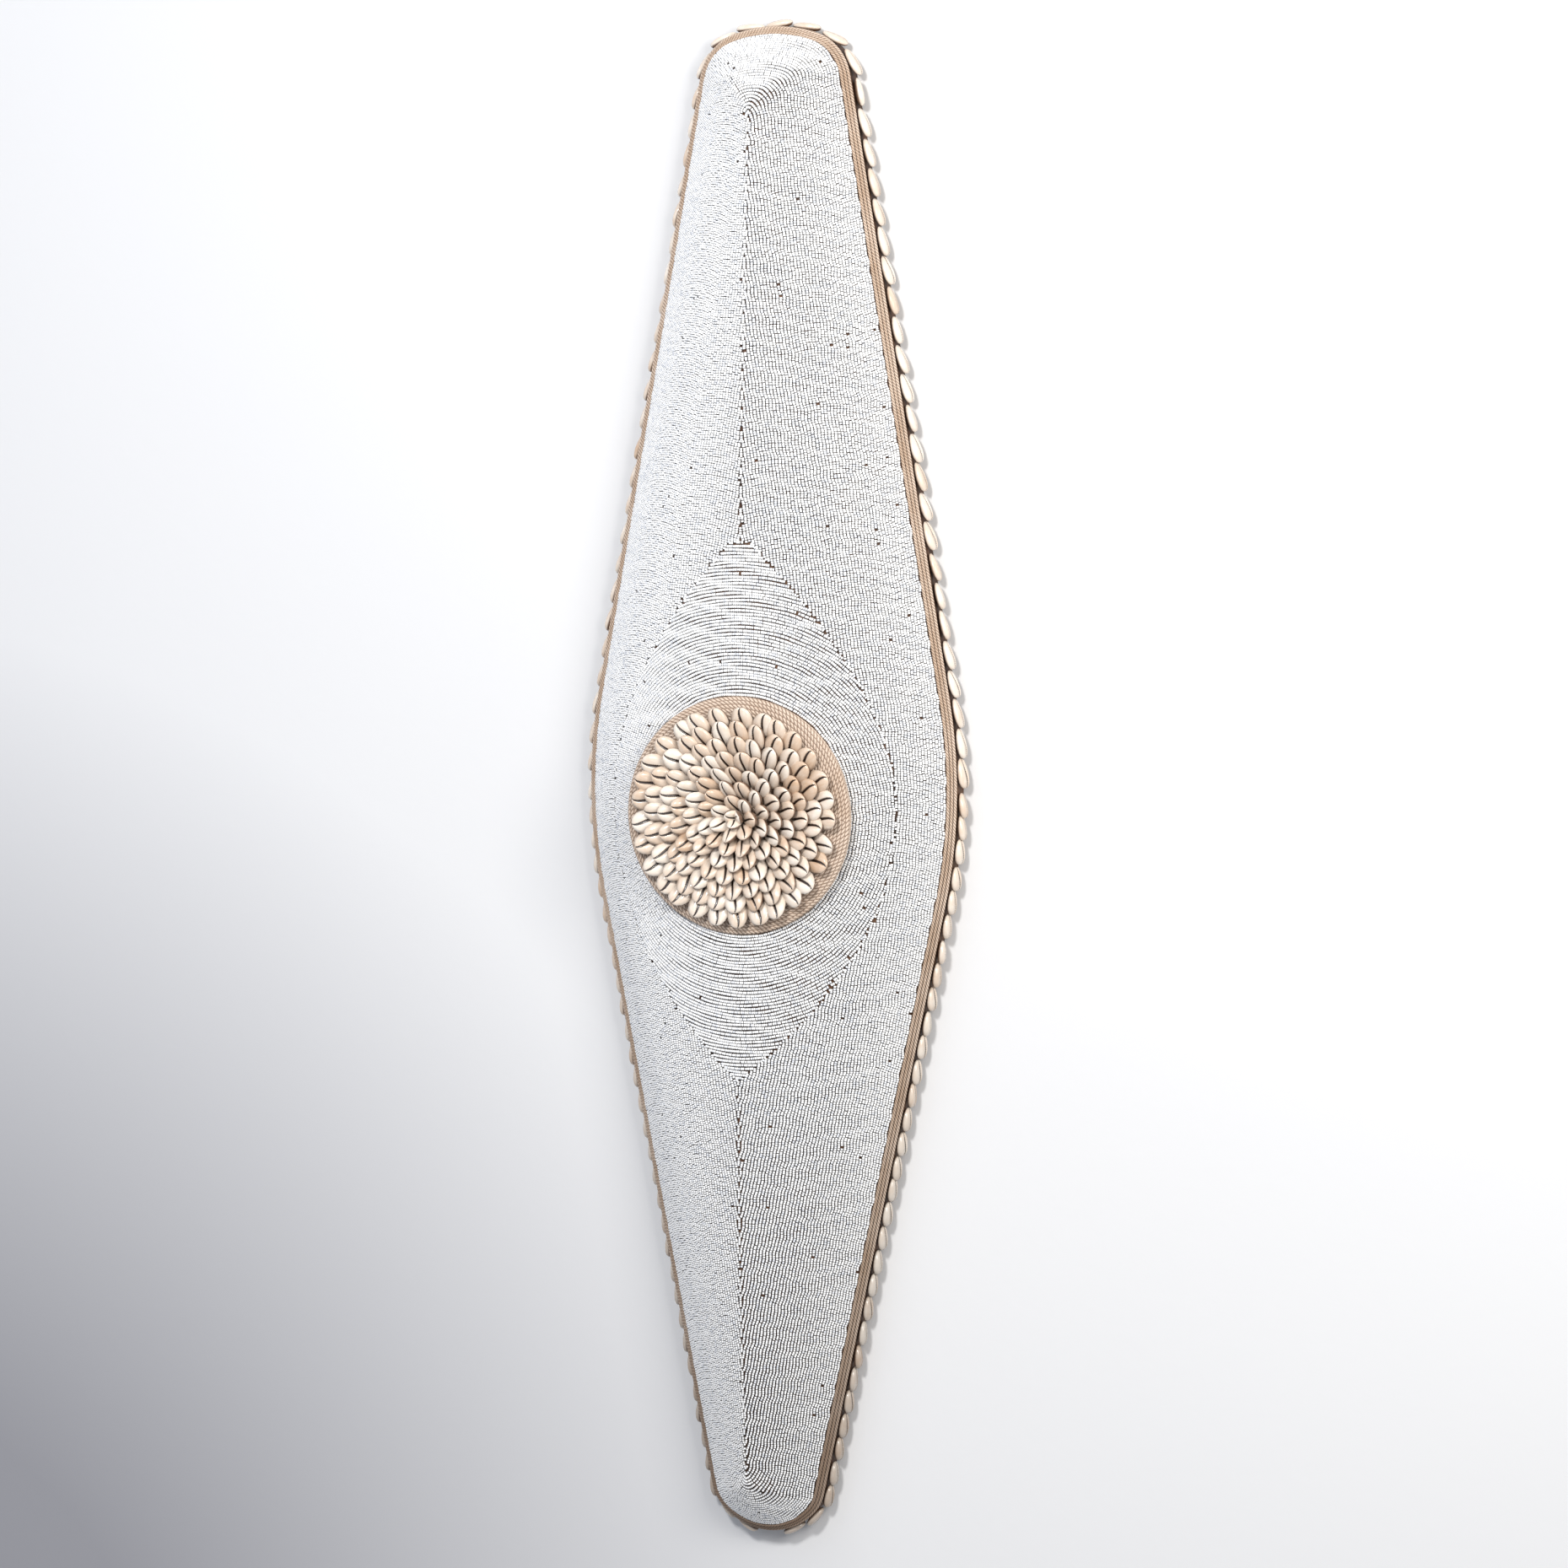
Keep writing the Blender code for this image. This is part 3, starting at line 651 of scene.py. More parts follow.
def stained_wood_material(board):
    """Softwood hollowed by gouge and stained dark: grain lengthwise, pores, stain worn on proud marks."""
    material, tree, shader = new_material("dark_stained_gouged_wood", IOR=1.45, Metallic=0.0)
    place = add_node(tree, "ShaderNodeTexCoord")
    grown = add_node(tree, "ShaderNodeMapping", {"Vector": place, "Scale": (1.0, 0.06, 1.0)})
    rings = add_node(
        tree, "ShaderNodeTexNoise", {"Vector": grown, "Scale": 210.0, "Detail": 6.0, "Distortion": 0.6})
    pores = add_node(tree, "ShaderNodeTexNoise", {"Vector": grown, "Scale": 1400.0, "Detail": 2.0})
    blotch = add_node(tree, "ShaderNodeTexNoise", {"Vector": place, "Scale": 9.0, "Detail": 4.0})
    grain = add_node(tree, "ShaderNodeMapRange", {0: rings, 1: 0.36, 2: 0.66})
    veins, stain, bare = opaque(board.grain), opaque(board.stain), opaque(hex_colour("#8C6849"))
    wood = add_node(tree, "ShaderNodeMix", {MIX_FACTOR: grain, MIX_A: veins, MIX_B: stain}, data_type="RGBA")
    worn = add_node(tree, "ShaderNodeMapRange", {0: blotch, 1: 0.48, 2: 0.8, 3: 0.0, 4: 0.45})
    colour = add_node(tree, "ShaderNodeMix", {MIX_FACTOR: worn, MIX_A: wood, MIX_B: bare}, data_type="RGBA")
    rough = add_node(tree, "ShaderNodeMapRange", {0: pores, 1: 0.3, 2: 0.7, 3: 0.5, 4: 0.78})
    bump = add_node(tree, "ShaderNodeBump", {"Strength": 0.45, "Distance": 0.0004, "Height": rings})
    set_inputs(tree, shader, {"Base Color": colour, "Roughness": rough, "Normal": bump})
    return material


def plaster_material(stage):
    """Painted plaster: matt off-white with a faint orange-peel of the roller, and painted shade that darkens
    it towards one corner.
    """
    material, tree, shader = new_material("matt_painted_plaster", Roughness=0.85, Metallic=0.0)
    place = add_node(tree, "ShaderNodeTexCoord")
    peel = add_node(tree, "ShaderNodeTexNoise", {"Vector": place, "Scale": 70.0, "Detail": 3.0})
    # Painted shade on the floor: darker towards one corner
    away = add_node(tree, "ShaderNodeVectorMath", {0: place, 1: SHADED_FLOOR_CORNER}, operation="DISTANCE")
    unshaded = add_node(tree, "ShaderNodeMapRange", {0: away.outputs["Value"], 1: 0.35, 2: 1.02})
    corner, floor = opaque(stage.corner), opaque(stage.floor)
    colour = add_node(
        tree, "ShaderNodeMix", {MIX_FACTOR: unshaded, MIX_A: corner, MIX_B: floor}, data_type="RGBA")
    bump = add_node(tree, "ShaderNodeBump", {"Strength": 0.12, "Distance": 0.001, "Height": peel})
    set_inputs(tree, shader, {"Base Color": colour, "Normal": bump})
    return material


# One bead as a pillow-shaped drum: its lower and upper corners along, across and above its row, in half sizes
BEAD_CORNERS = ((1.0, 1.0, -0.6), (0.74, 0.53, 0.98))
BEAD_LENGTH = 0.00172
BEAD_WIDTH_PLACES = (-0.55, -0.2, 0.55)
BEAD_WIDTHS = (0.00204, 0.0025, 0.00258)
FIRST_ROW = -0.56
BEAD_JITTER = 0.14
BEAD_SIZE_SPREAD = 0.06
BEAD_SPIN_SPREAD = 0.10
BEAD_SIZE_LIMITS = (-0.14, 0.03)
# Least share of a row's direction along the axis where it runs lengthwise
LENGTHWISE = 0.6
# Ridge on the axis: reach in which beads snap to it, gap that takes a bead, reach in which rows draw in, and
# the share of its distance that a snapped bead keeps
RIDGE_SNAP = 0.00115
RIDGE_OPEN = 0.0020
RIDGE_DRAW = 0.010
RIDGE_KEPT = 0.15
# Seam round the lozenge: room kept free, unevenness, reach of lost beads and how many more are lost, then the
# steps of its curve and the least room for a bead on it
SEAM_CLEARANCE = 0.00025
SEAM_SPREAD = 0.0003
SEAM_WIDTH = 0.003
SEAM_LOSS = 8.0
SEAM_STEPS = 400
SEAM_ROOM = 0.0016
# Rings round the boss: directions and distances measured, their reach, and the first ring's place in pitches
RING_TURNS = 720
RING_SAMPLES = 900
RING_REACH = 1.15
FIRST_RING = 0.55
DEPTH_SAMPLES = 2000
FLANK_SEED = 11
LOZENGE_SEED = 23
# Windows that round the rows' corners, and how the rounding fades towards the ridge and past the ends' arcs
TOP_ROUNDING = 0.022
FOOT_ROUNDING = 0.034
RIDGE_BLEND = 0.012
ARCH_FADE = 0.010
SWAY = 0.00022


def bead_template():
    """Eight corners, four below and four nearer together above, six quads, and a value of one at the lower
    corners, where shade between beads is painted.
    """
    turns = np.array(((1, 1), (-1, 1), (-1, -1), (1, -1)))
    levels = [np.column_stack((turns * corner[:2], np.full(4, corner[2]))) for corner in BEAD_CORNERS]
    side = np.arange(4)
    after = (side + 1) % 4
    walls = np.stack((side, after, after + 4, side + 4), axis=1)
    low = np.repeat((1.0, 0.0), 4)
    return np.concatenate(levels), np.concatenate((walls, ((3, 2, 1, 0), (4, 5, 6, 7)))), low


def string_beads(line, pitch, rng):
    """Places and directions, in plan, of beads strung along a closed line on the face at their real pitch."""
    looped = closed(line)
    heights = face_height(depth_at(*looped.T))
    reached = surface_steps(np.column_stack((looped, heights)))
    count = max(3, int(reached[-1] / pitch))
    places = (np.arange(count) + rng.uniform(-BEAD_JITTER, BEAD_JITTER, count)) * reached[-1] / count
    ahead = along_line(looped, reached, places + pitch) - along_line(looped, reached, places - pitch)
    return along_line(looped, reached, places), unit(ahead)


def sway(points, ahead):
    """Rows wander a little: each point moves across its row by a sum of waves, in radians to the metre."""
    x, y = points.T
    wave = np.sin(290 * y + 2.1 * np.sin(33 * x)) + 0.8 * np.sin(610 * y + 170 * x)
    wave = wave + 0.7 * np.sin(95 * x - 410 * y)
    return points + crosswise(ahead) * (SWAY * wave)[:, None]


def ridge_start(end, slant):
    """Depth from which the flanks meet before they reach an end's arc."""
    return (HALF_WIDTH * math.cos(slant) - end[0] * math.sin(slant)) / (1.0 - math.sin(slant))


def rounded_row(depth):
    """The outline at a depth, smoothed at mitred corners and arches over the axis, but not on the ridge."""
    line = evenly(outline(depth), LINE_STEP)
    upper = line[:, 1:] > WAIST_Y
    soft = np.where(upper, running_mean(line, TOP_ROUNDING), running_mean(line, FOOT_ROUNDING))
    starts = np.where(upper, ridge_start(TOP_END, TOP_SLANT), ridge_start(FOOT_END, FOOT_SLANT))
    arch = np.clip(1.0 - (depth - starts) / ARCH_FADE, 0.0, 1.0)
    weight = np.maximum(np.clip(np.abs(line[:, :1]) / RIDGE_BLEND, 0.0, 1.0), arch)
    mitred = np.clip(max(depth, 0.0) / np.where(upper, TOP_END[3], FOOT_END[3]), 0.0, 1.0) ** 2
    return line + (soft - line) * weight * mitred


def flank_rows(settings, rng):
    """Rows side by side from rim to ridge, a pitch apart on the face, cut off at the lozenge's seam."""
    depths = np.linspace(-OVERHANG * FULL_DEPTH, FULL_DEPTH, DEPTH_SAMPLES)
    steps = np.diff(depths) * np.hypot(1.0, face_slope(depths[1:]))
    reached = np.concatenate(([0.0], np.cumsum(steps)))
    reached -= np.interp(0.0, depths, reached)
    levels = np.arange(FIRST_ROW, reached[-1] / settings.row_pitch) * settings.row_pitch
    depths = np.interp(levels, reached, depths)
    strings = [string_beads(rounded_row(depth), settings.bead_pitch, rng) for depth in depths]
    points, directions = (np.concatenate(values) for values in zip(*strings))
    points, directions = close_ridge(sway(points, directions), directions, settings.bead_pitch)
    inside = lozenge_inside(*points.T) + rng.normal(0.0, SEAM_SPREAD, len(points))
    return points[inside < -SEAM_CLEARANCE], directions[inside < -SEAM_CLEARANCE]


def close_ridge(points, directions, pitch):
    """Rows that crowd the axis give way to one on it; rows apart draw together or take a bead between."""
    lengthwise = np.abs(directions[:, 1]) > LENGTHWISE
    slots, nearest = axis_gaps(points, pitch)
    apart = np.clip(nearest[slots] - RIDGE_SNAP, 0.0, RIDGE_OPEN - RIDGE_SNAP)
    apart = apart * (nearest[slots] < RIDGE_OPEN)
    draw = apart * np.clip(1.0 - np.abs(points[:, 0]) / RIDGE_DRAW, 0.0, 1.0) * lengthwise
    points = points - np.column_stack((np.sign(points[:, 0]) * draw, np.zeros(len(points))))
    crowded = lengthwise & (np.abs(points[:, 0]) < RIDGE_SNAP)
    kept = ~(crowded & (points[:, 0] < 0.0))
    points, directions, crowded = points[kept], directions[kept], crowded[kept]
    points[crowded, 0] *= RIDGE_KEPT
    slots, nearest = axis_gaps(points, pitch)
    places = points[:, 1].min() + np.arange(len(nearest)) * pitch
    open_slots = (nearest > RIDGE_OPEN) & (nearest < 3 * RIDGE_OPEN)
    filled = np.column_stack((np.zeros(open_slots.sum()), places[open_slots]))
    along = np.tile((0.0, 1.0), (len(filled), 1))
    return np.concatenate((points, filled)), np.concatenate((directions, along))


def axis_gaps(points, pitch):
    """Each point's slot along the axis and, slot by slot, how far from the axis the nearest bead lies."""
    slots = np.round((points[:, 1] - points[:, 1].min()) / pitch).astype(int)
    nearest = np.full(slots.max() + 1, np.inf)
    np.minimum.at(nearest, slots, np.abs(points[:, 0]))
    return slots, np.minimum(nearest, np.minimum(np.roll(nearest, 1), np.roll(nearest, -1)))


# Pad's roll in widths of itself: its foot, within the board's thickness, and its belly below the rim's plane,
# then how far in from the rim its belly, shoulder and top lie, and the shoulder's share of the top's height
PAD_ROLL = PAD_RADIUS - PAD_FOOT_RADIUS
PAD_FOOT_DROP = 2.1
PAD_BELLY_DROP = 0.9
PAD_BELLY_INSET = 0.15
PAD_SHOULDER_INSET = 0.4
PAD_TOP_INSET = 1.2
PAD_SHOULDER_SHARE = 0.8


def pad_reach(height):
    """Radius of the pad's rolled edge at a height, from its foot to its rim."""
    levels = PAD_PLANE - PAD_ROLL * np.array((PAD_FOOT_DROP, PAD_BELLY_DROP, 0.0))
    return np.interp(height, levels, (PAD_FOOT_RADIUS, PAD_RADIUS - PAD_ROLL * PAD_BELLY_INSET, PAD_RADIUS))


def lozenge_rows(settings, rng):
    """Rings round the boss: along every direction from its centre, rows lie a pitch apart on the face."""
    turns = np.linspace(0.0, 2 * math.pi, RING_TURNS, endpoint=False)[:, None]
    radii = np.linspace(PAD_FOOT_RADIUS, LOZENGE_FOOT_LENGTH * RING_REACH, RING_SAMPLES)[None, :]
    x, y = PAD_CENTRE[0] + radii * np.sin(turns), PAD_CENTRE[1] + radii * np.cos(turns)
    heights = face_height(depth_at(x, y))
    steps = np.hypot(np.diff(radii, axis=1), np.diff(heights, axis=1))
    steps = np.where(radii[:, 1:] > pad_reach(heights[:, 1:]) + GAP, steps, 0.0)
    reached = np.concatenate((np.zeros((len(turns), 1)), np.cumsum(steps, axis=1)), axis=1)
    strings = []
    for level in np.arange(FIRST_RING, reached.max() / settings.row_pitch) * settings.row_pitch:
        column = np.clip((reached < level).sum(axis=1), 1, radii.size - 1)[:, None]
        before = np.take_along_axis(reached, column - 1, axis=1)
        after = np.take_along_axis(reached, column, axis=1)
        share = np.clip((level - before) / np.maximum(after - before, 1e-9), 0.0, 1.0)
        radius = radii[0, column - 1] + share * (radii[0, column] - radii[0, column - 1])
        ring = PAD_CENTRE + np.concatenate((radius * np.sin(turns), radius * np.cos(turns)), axis=1)
        strings.append(string_beads(ring, settings.bead_pitch, rng))
    points, directions = (np.concatenate(values) for values in zip(*strings))
    points = sway(points, directions)
    inside = lozenge_inside(*points.T) + rng.normal(0.0, SEAM_SPREAD, len(points))
    kept = inside > SEAM_CLEARANCE
    return points[kept], directions[kept]


def seam_row(settings, beads, rng):
    """Beads along the lozenge's seam, kept where the rows on both sides of it leave them room."""
    along = np.linspace(-LOZENGE_FOOT_LENGTH, LOZENGE_CUT, SEAM_STEPS)
    right = np.column_stack((lozenge_half(along)[0], along + WAIST_Y))
    both = np.concatenate((right, (right * (-1, 1))[::-1]))
    points, directions = string_beads(both, settings.bead_pitch, rng)
    near = beads[np.abs(lozenge_inside(*beads.T)) < 2 * SEAM_WIDTH]
    kept = np.linalg.norm(points[:, None] - near[None], axis=2).min(axis=1) > SEAM_ROOM
    return points[kept], directions[kept]


def bead_piece(name, points, directions, settings, material, rng):
    """Beads as one mesh: the shape turned to its row and to the face, a little uneven in size and turn."""
    near_seam = np.abs(lozenge_inside(*points.T)) < SEAM_WIDTH
    near_ridge = (np.abs(points[:, 0]) < SEAM_WIDTH) & (np.abs(directions[:, 1]) > LENGTHWISE)
    loss = settings.missing * np.where(near_seam | near_ridge, SEAM_LOSS, 1.0)
    kept = rng.random(len(points)) > loss
    points, directions = points[kept], directions[kept]
    count = len(points)
    shape, faces, low = bead_template()
    normal = face_normal(*points.T)
    spin = rng.normal(0.0, BEAD_SPIN_SPREAD, count)[:, None]
    turned = directions * np.cos(spin) + crosswise(directions) * np.sin(spin)
    flat = np.column_stack((turned, np.zeros(count)))
    ahead = unit(flat - normal * (normal * flat).sum(axis=1, keepdims=True))
    across = np.cross(normal, ahead)
    sizes = 1.0 + rng.normal(0.0, BEAD_SIZE_SPREAD, (count, 3)).clip(*BEAD_SIZE_LIMITS)
    width = np.interp(points[:, 1], BEAD_WIDTH_PLACES, BEAD_WIDTHS)
    usual = np.column_stack((np.full(count, BEAD_LENGTH), width, np.full(count, BEAD_THICKNESS)))
    halves = sizes * usual / 2
    centres = np.column_stack((points, face_height(depth_at(*points.T)))) - normal * (BEAD_THICKNESS / 2)
    verts = set_out(centres, shape[None] * halves[:, None], ahead, across, normal)
    # The low value marks each bead's lower corners, where shade between beads is painted
    values = {"tone": np.repeat(rng.random(count), len(shape)), "low": np.tile(low, count)}
    return put_mesh(name, verts, [repeat_faces(faces, count, len(shape))], material, values)


class SHIELD_OT_board(bpy.types.Operator):
    """Carves the board: crowned face, sloping band, upright edge and hollow back"""

    bl_idname = "shield.board"
    bl_label = "Carved board"

    def execute(self, context):
        settings = context.scene.shield_board
        piece = carved_board(settings, stained_wood_material(settings))
        finish_piece(piece, "dark_wood", "carved_board")
        return {"FINISHED"}


# Board: shares of the way in at which rings lie on face and in hollow, shares of the wall's height, the wall's
# rounding, and the reaches in which points merge and edges count as nothing
FACE_LEVELS = np.linspace(1.0, 0.0, 15) ** 1.4
HOLLOW_LEVELS = np.linspace(0.0, 1.0, 24) ** 1.15
WALL_LEVELS = (1.0, 0.94, 0.5, 0.06, 0.0)
WALL_ROUNDING = 0.0006
MERGE_REACH = 2e-6
FLAT_REACH = 1e-6


def carved_board(settings, material):
    """Rings of the outline: down the face below the beads, over the band, down the wall and up the hollow."""
    rings = []
    for level in FACE_LEVELS:
        depth = FULL_DEPTH * level
        sunk = (BEAD_THICKNESS + GAP) * math.hypot(1.0, face_slope(depth))
        rings.append((depth, face_height(depth) - sunk))
    for level in WALL_LEVELS:
        inset = WALL_ROUNDING if level in (0.0, 1.0) else 0.0
        rings.append((-BAND_REACH + inset, WALL_HEIGHT * level))
    start = BACK_RIM_WIDTH - BAND_REACH
    crown = CROWN_HEIGHT - BEAD_THICKNESS - GAP - BOARD_THICKNESS
    hollow = []
    for level in HOLLOW_LEVELS:
        depth = start + (FULL_DEPTH - start) * level
        hollow.append((depth, crown * (1.0 - (1.0 - level) ** HOLLOW_POWER)))
    plan = np.stack([outline(depth) for depth, height in rings + hollow])
    heights = np.broadcast_to(np.array([height for depth, height in rings + hollow])[:, None], plan.shape[:2])
    fade = np.sin(math.pi * HOLLOW_LEVELS.clip(0, 1))[:, None]
    marks = gouge_marks(plan[len(rings):], settings.tool_mark) * fade
    heights = np.concatenate((heights[:len(rings)], heights[len(rings):] + marks))
    points = np.concatenate((plan, heights[..., None]), axis=2)
    faces = grid_faces(len(points), plan.shape[1])
    piece = put_mesh("carved_board_finish", points.reshape(-1, 3), [faces], material)
    close_poles(piece.data)
    return piece


def gouge_marks(plan, depth):
    """Shallow scoops: the larger of two slanted waves, in radians to the metre, as a gouge leaves them."""
    x, y = plan[..., 0], plan[..., 1]
    first = np.abs(np.sin(x * 150 + 5 * np.sin(y * 21))) * np.abs(np.sin(y * 62 + 2 * np.sin(x * 40)))
    second = np.abs(np.sin(x * 95 - 3 * np.sin(y * 13) + 1.0)) * np.abs(np.sin(y * 41 + 1.3))
    return depth * (np.maximum(first, second) - 0.5) * 2


def close_poles(mesh):
    """Merges points that lie together, drops faces without area and turns all faces outwards."""
    shape = bmesh.new()
    shape.from_mesh(mesh)
    bmesh.ops.remove_doubles(shape, verts=shape.verts, dist=MERGE_REACH)
    bmesh.ops.dissolve_degenerate(shape, dist=FLAT_REACH, edges=shape.edges)
    bmesh.ops.recalc_face_normals(shape, faces=shape.faces)
    for face in shape.faces:
        face.smooth = True
    shape.to_mesh(mesh)
    shape.free()


class SHIELD_OT_flank_beads(bpy.types.Operator):
    """Strings the flank rows in four quarters, outside the lozenge"""

    bl_idname = "shield.flank_beads"
    bl_label = "Flank beads"

    def execute(self, context):
        settings = context.scene.shield_beads
        rng = np.random.default_rng(FLANK_SEED)
        material = glass_bead_material(settings)
        points, directions = flank_rows(settings, rng)
        for along, end in ((1, "top"), (-1, "foot")):
            for across, side in ((1, "right"), (-1, "left")):
                part = (points[:, 0] * across >= 0) & ((points[:, 1] - WAIST_Y) * along >= 0)
                name = "flank_beads_%s_%s" % (end, side)
                piece = bead_piece(name, points[part], directions[part], settings, material, rng)
                finish_piece(piece, "white_beads", "beadwork_flanks")
        return {"FINISHED"}


class SHIELD_OT_lozenge_beads(bpy.types.Operator):
    """Strings the ringed rows of the lozenge round the boss"""

    bl_idname = "shield.lozenge_beads"
    bl_label = "Lozenge beads"

    def execute(self, context):
        settings = context.scene.shield_beads
        rng = np.random.default_rng(LOZENGE_SEED)
        material = bpy.data.materials[BEAD_GLASS]
        points, directions = lozenge_rows(settings, rng)
        flanks = flank_rows(settings, np.random.default_rng(FLANK_SEED))[0]
        seam, seam_ahead = seam_row(settings, np.concatenate((points, flanks)), rng)
        points, directions = np.concatenate((points, seam)), np.concatenate((directions, seam_ahead))
        piece = bead_piece("lozenge_beads", points, directions, settings, material, rng)
        finish_piece(piece, "white_beads", "beadwork_lozenge")
        return {"FINISHED"}


# Cords: strands, how much darker than usual the two kinds are, the furrows' share of the radius, the mesh's
# step and sides, and the length of a streak of fibre
STRANDS = 3
AGED_DARKNESS = 0.06
PALE_DARKNESS = -0.12
STRAND_DEPTH = 0.2
CORD_STEP = 0.001
CORD_SIDES = 8
FIBRE_RUN = 0.02


def twisted_cord(name, line, height, settings, material):
    """A closed cord: round each point of the line a ring that swells over strands, which turn along it."""
    line = evenly(line, CORD_STEP)
    looped = closed(line)
    reached = surface_steps(looped)
    turns = round(reached[-1] / settings.lay_length)
    ahead = unit(np.roll(line, -1, axis=0) - np.roll(line, 1, axis=0))
    outward = crosswise(ahead)
    angle = 2 * math.pi * np.arange(CORD_SIDES)[None, :] / CORD_SIDES
    phase = angle + 2 * math.pi * turns * reached[:-1, None] / reached[-1]
    lobe = np.abs(np.cos(phase * STRANDS / 2))
    radius = CORD_DIAMETER / 2 * (1.0 - STRAND_DEPTH + STRAND_DEPTH * lobe)
    plan = line[:, None] + outward[:, None] * (radius * np.cos(angle))[..., None]
    points = np.concatenate((plan, (height + radius * np.sin(angle))[..., None]), axis=2)
    run = np.broadcast_to(reached[:-1, None] / FIBRE_RUN, phase.shape)
    lay = np.stack((np.cos(phase), np.sin(phase), run), axis=2)
    faces = grid_faces(len(line), CORD_SIDES, wrap_rows=True)
    # Painted shade under the cord: the groove value grows on its lower side
    crevice = np.broadcast_to(np.maximum(0.0, -np.sin(angle)) ** 2, phase.shape)
    values = {"groove": crevice.ravel(), "lay": lay.reshape(-1, 3)}
    return put_mesh(name, points.reshape(-1, 3), [faces], material, values)


class SHIELD_OT_rim_cords(bpy.types.Operator):
    """Lays three twisted cords side by side down the sloping band"""

    bl_idname = "shield.rim_cords"
    bl_label = "Rim cords"

    def execute(self, context):
        settings = context.scene.shield_jute
        darker = jute_material(settings, "jute_cord_aged", AGED_DARKNESS, STRANDS)
        paler = jute_material(settings, "jute_cord_pale", PALE_DARKNESS, STRANDS)
        radius = CORD_DIAMETER / 2
        across, down = math.cos(RIM_SLOPE), math.sin(RIM_SLOPE)
        for index, label in enumerate(CORD_NAMES):
            along = CORD_PITCH * (index + 0.5)
            out = along * across + (radius + GAP) * down
            height = RIM_HEIGHT - SINK - along * down + (radius + GAP) * across
            material = paler if label == "outer" else darker
            piece = twisted_cord("twisted_cord_" + label, outline(-out), height, settings, material)
            finish_piece(piece, "jute", "rim_cord_" + label)
        return {"FINISHED"}


# Pad: steps round it and across each row of its cord, the rows' relief, their strands and each row's shift
PAD_TURN_STEPS = 420
PAD_ROW_STEPS = 5
PAD_ROW_RELIEF = 0.0009
PAD_STRANDS = 2
PAD_STRAND_PITCH = 0.0036
PAD_STRAND_DEPTH = 0.28
PAD_LEAST_STRANDS = 8
PAD_ROW_SHIFT = 1.7
PAD_FIBRE_RUN = 4
PAD_DARKNESS = -0.2
# Where shells rest on the pad: shares of their length inwards and down from the middle, and room under them
SEAT_BACK = 0.42
SEAT_DOWN = 0.46
SEAT_ROOM = 0.0012


def ring_middle(index):
    """Radius and height of the middle of a ring's shells, their tilt, and the ring's centre in plan."""
    tilt = math.radians(RING_TILT_OUTER + RING_TILT_STEP * index)
    radius = RING_TIP_RADIUS - RING_PITCH * index - SHELL_LENGTH / 2 * math.cos(tilt)
    height = PAD_PLANE + RING_TIP_LIFT + RING_RISE * index - SHELL_LENGTH / 2 * math.sin(tilt)
    return radius, height, tilt, PAD_CENTRE + (RING_SHIFT * index, 0.0)


def pad_knots():
    """Corners of the pad's section, as radius and height: foot, belly, rim, shoulder, top, shells' seats."""
    middles = [ring_middle(index) for index in range(len(RING_COUNTS))]
    seats = [(radius - SHELL_LENGTH * SEAT_BACK * math.cos(tilt),
              height - SHELL_LENGTH * SEAT_DOWN * math.sin(tilt) - SEAT_ROOM)
             for radius, height, tilt, centre in middles]
    return np.array([
        (PAD_FOOT_RADIUS, PAD_PLANE - PAD_ROLL * PAD_FOOT_DROP),
        (PAD_RADIUS - PAD_ROLL * PAD_BELLY_INSET, PAD_PLANE - PAD_ROLL * PAD_BELLY_DROP),
        (PAD_RADIUS, PAD_PLANE),
        (PAD_RADIUS - PAD_ROLL * PAD_SHOULDER_INSET, PAD_PLANE + PAD_SHOULDER * PAD_SHOULDER_SHARE),
        (PAD_RADIUS - PAD_ROLL * PAD_TOP_INSET, PAD_PLANE + PAD_SHOULDER),
        *seats])


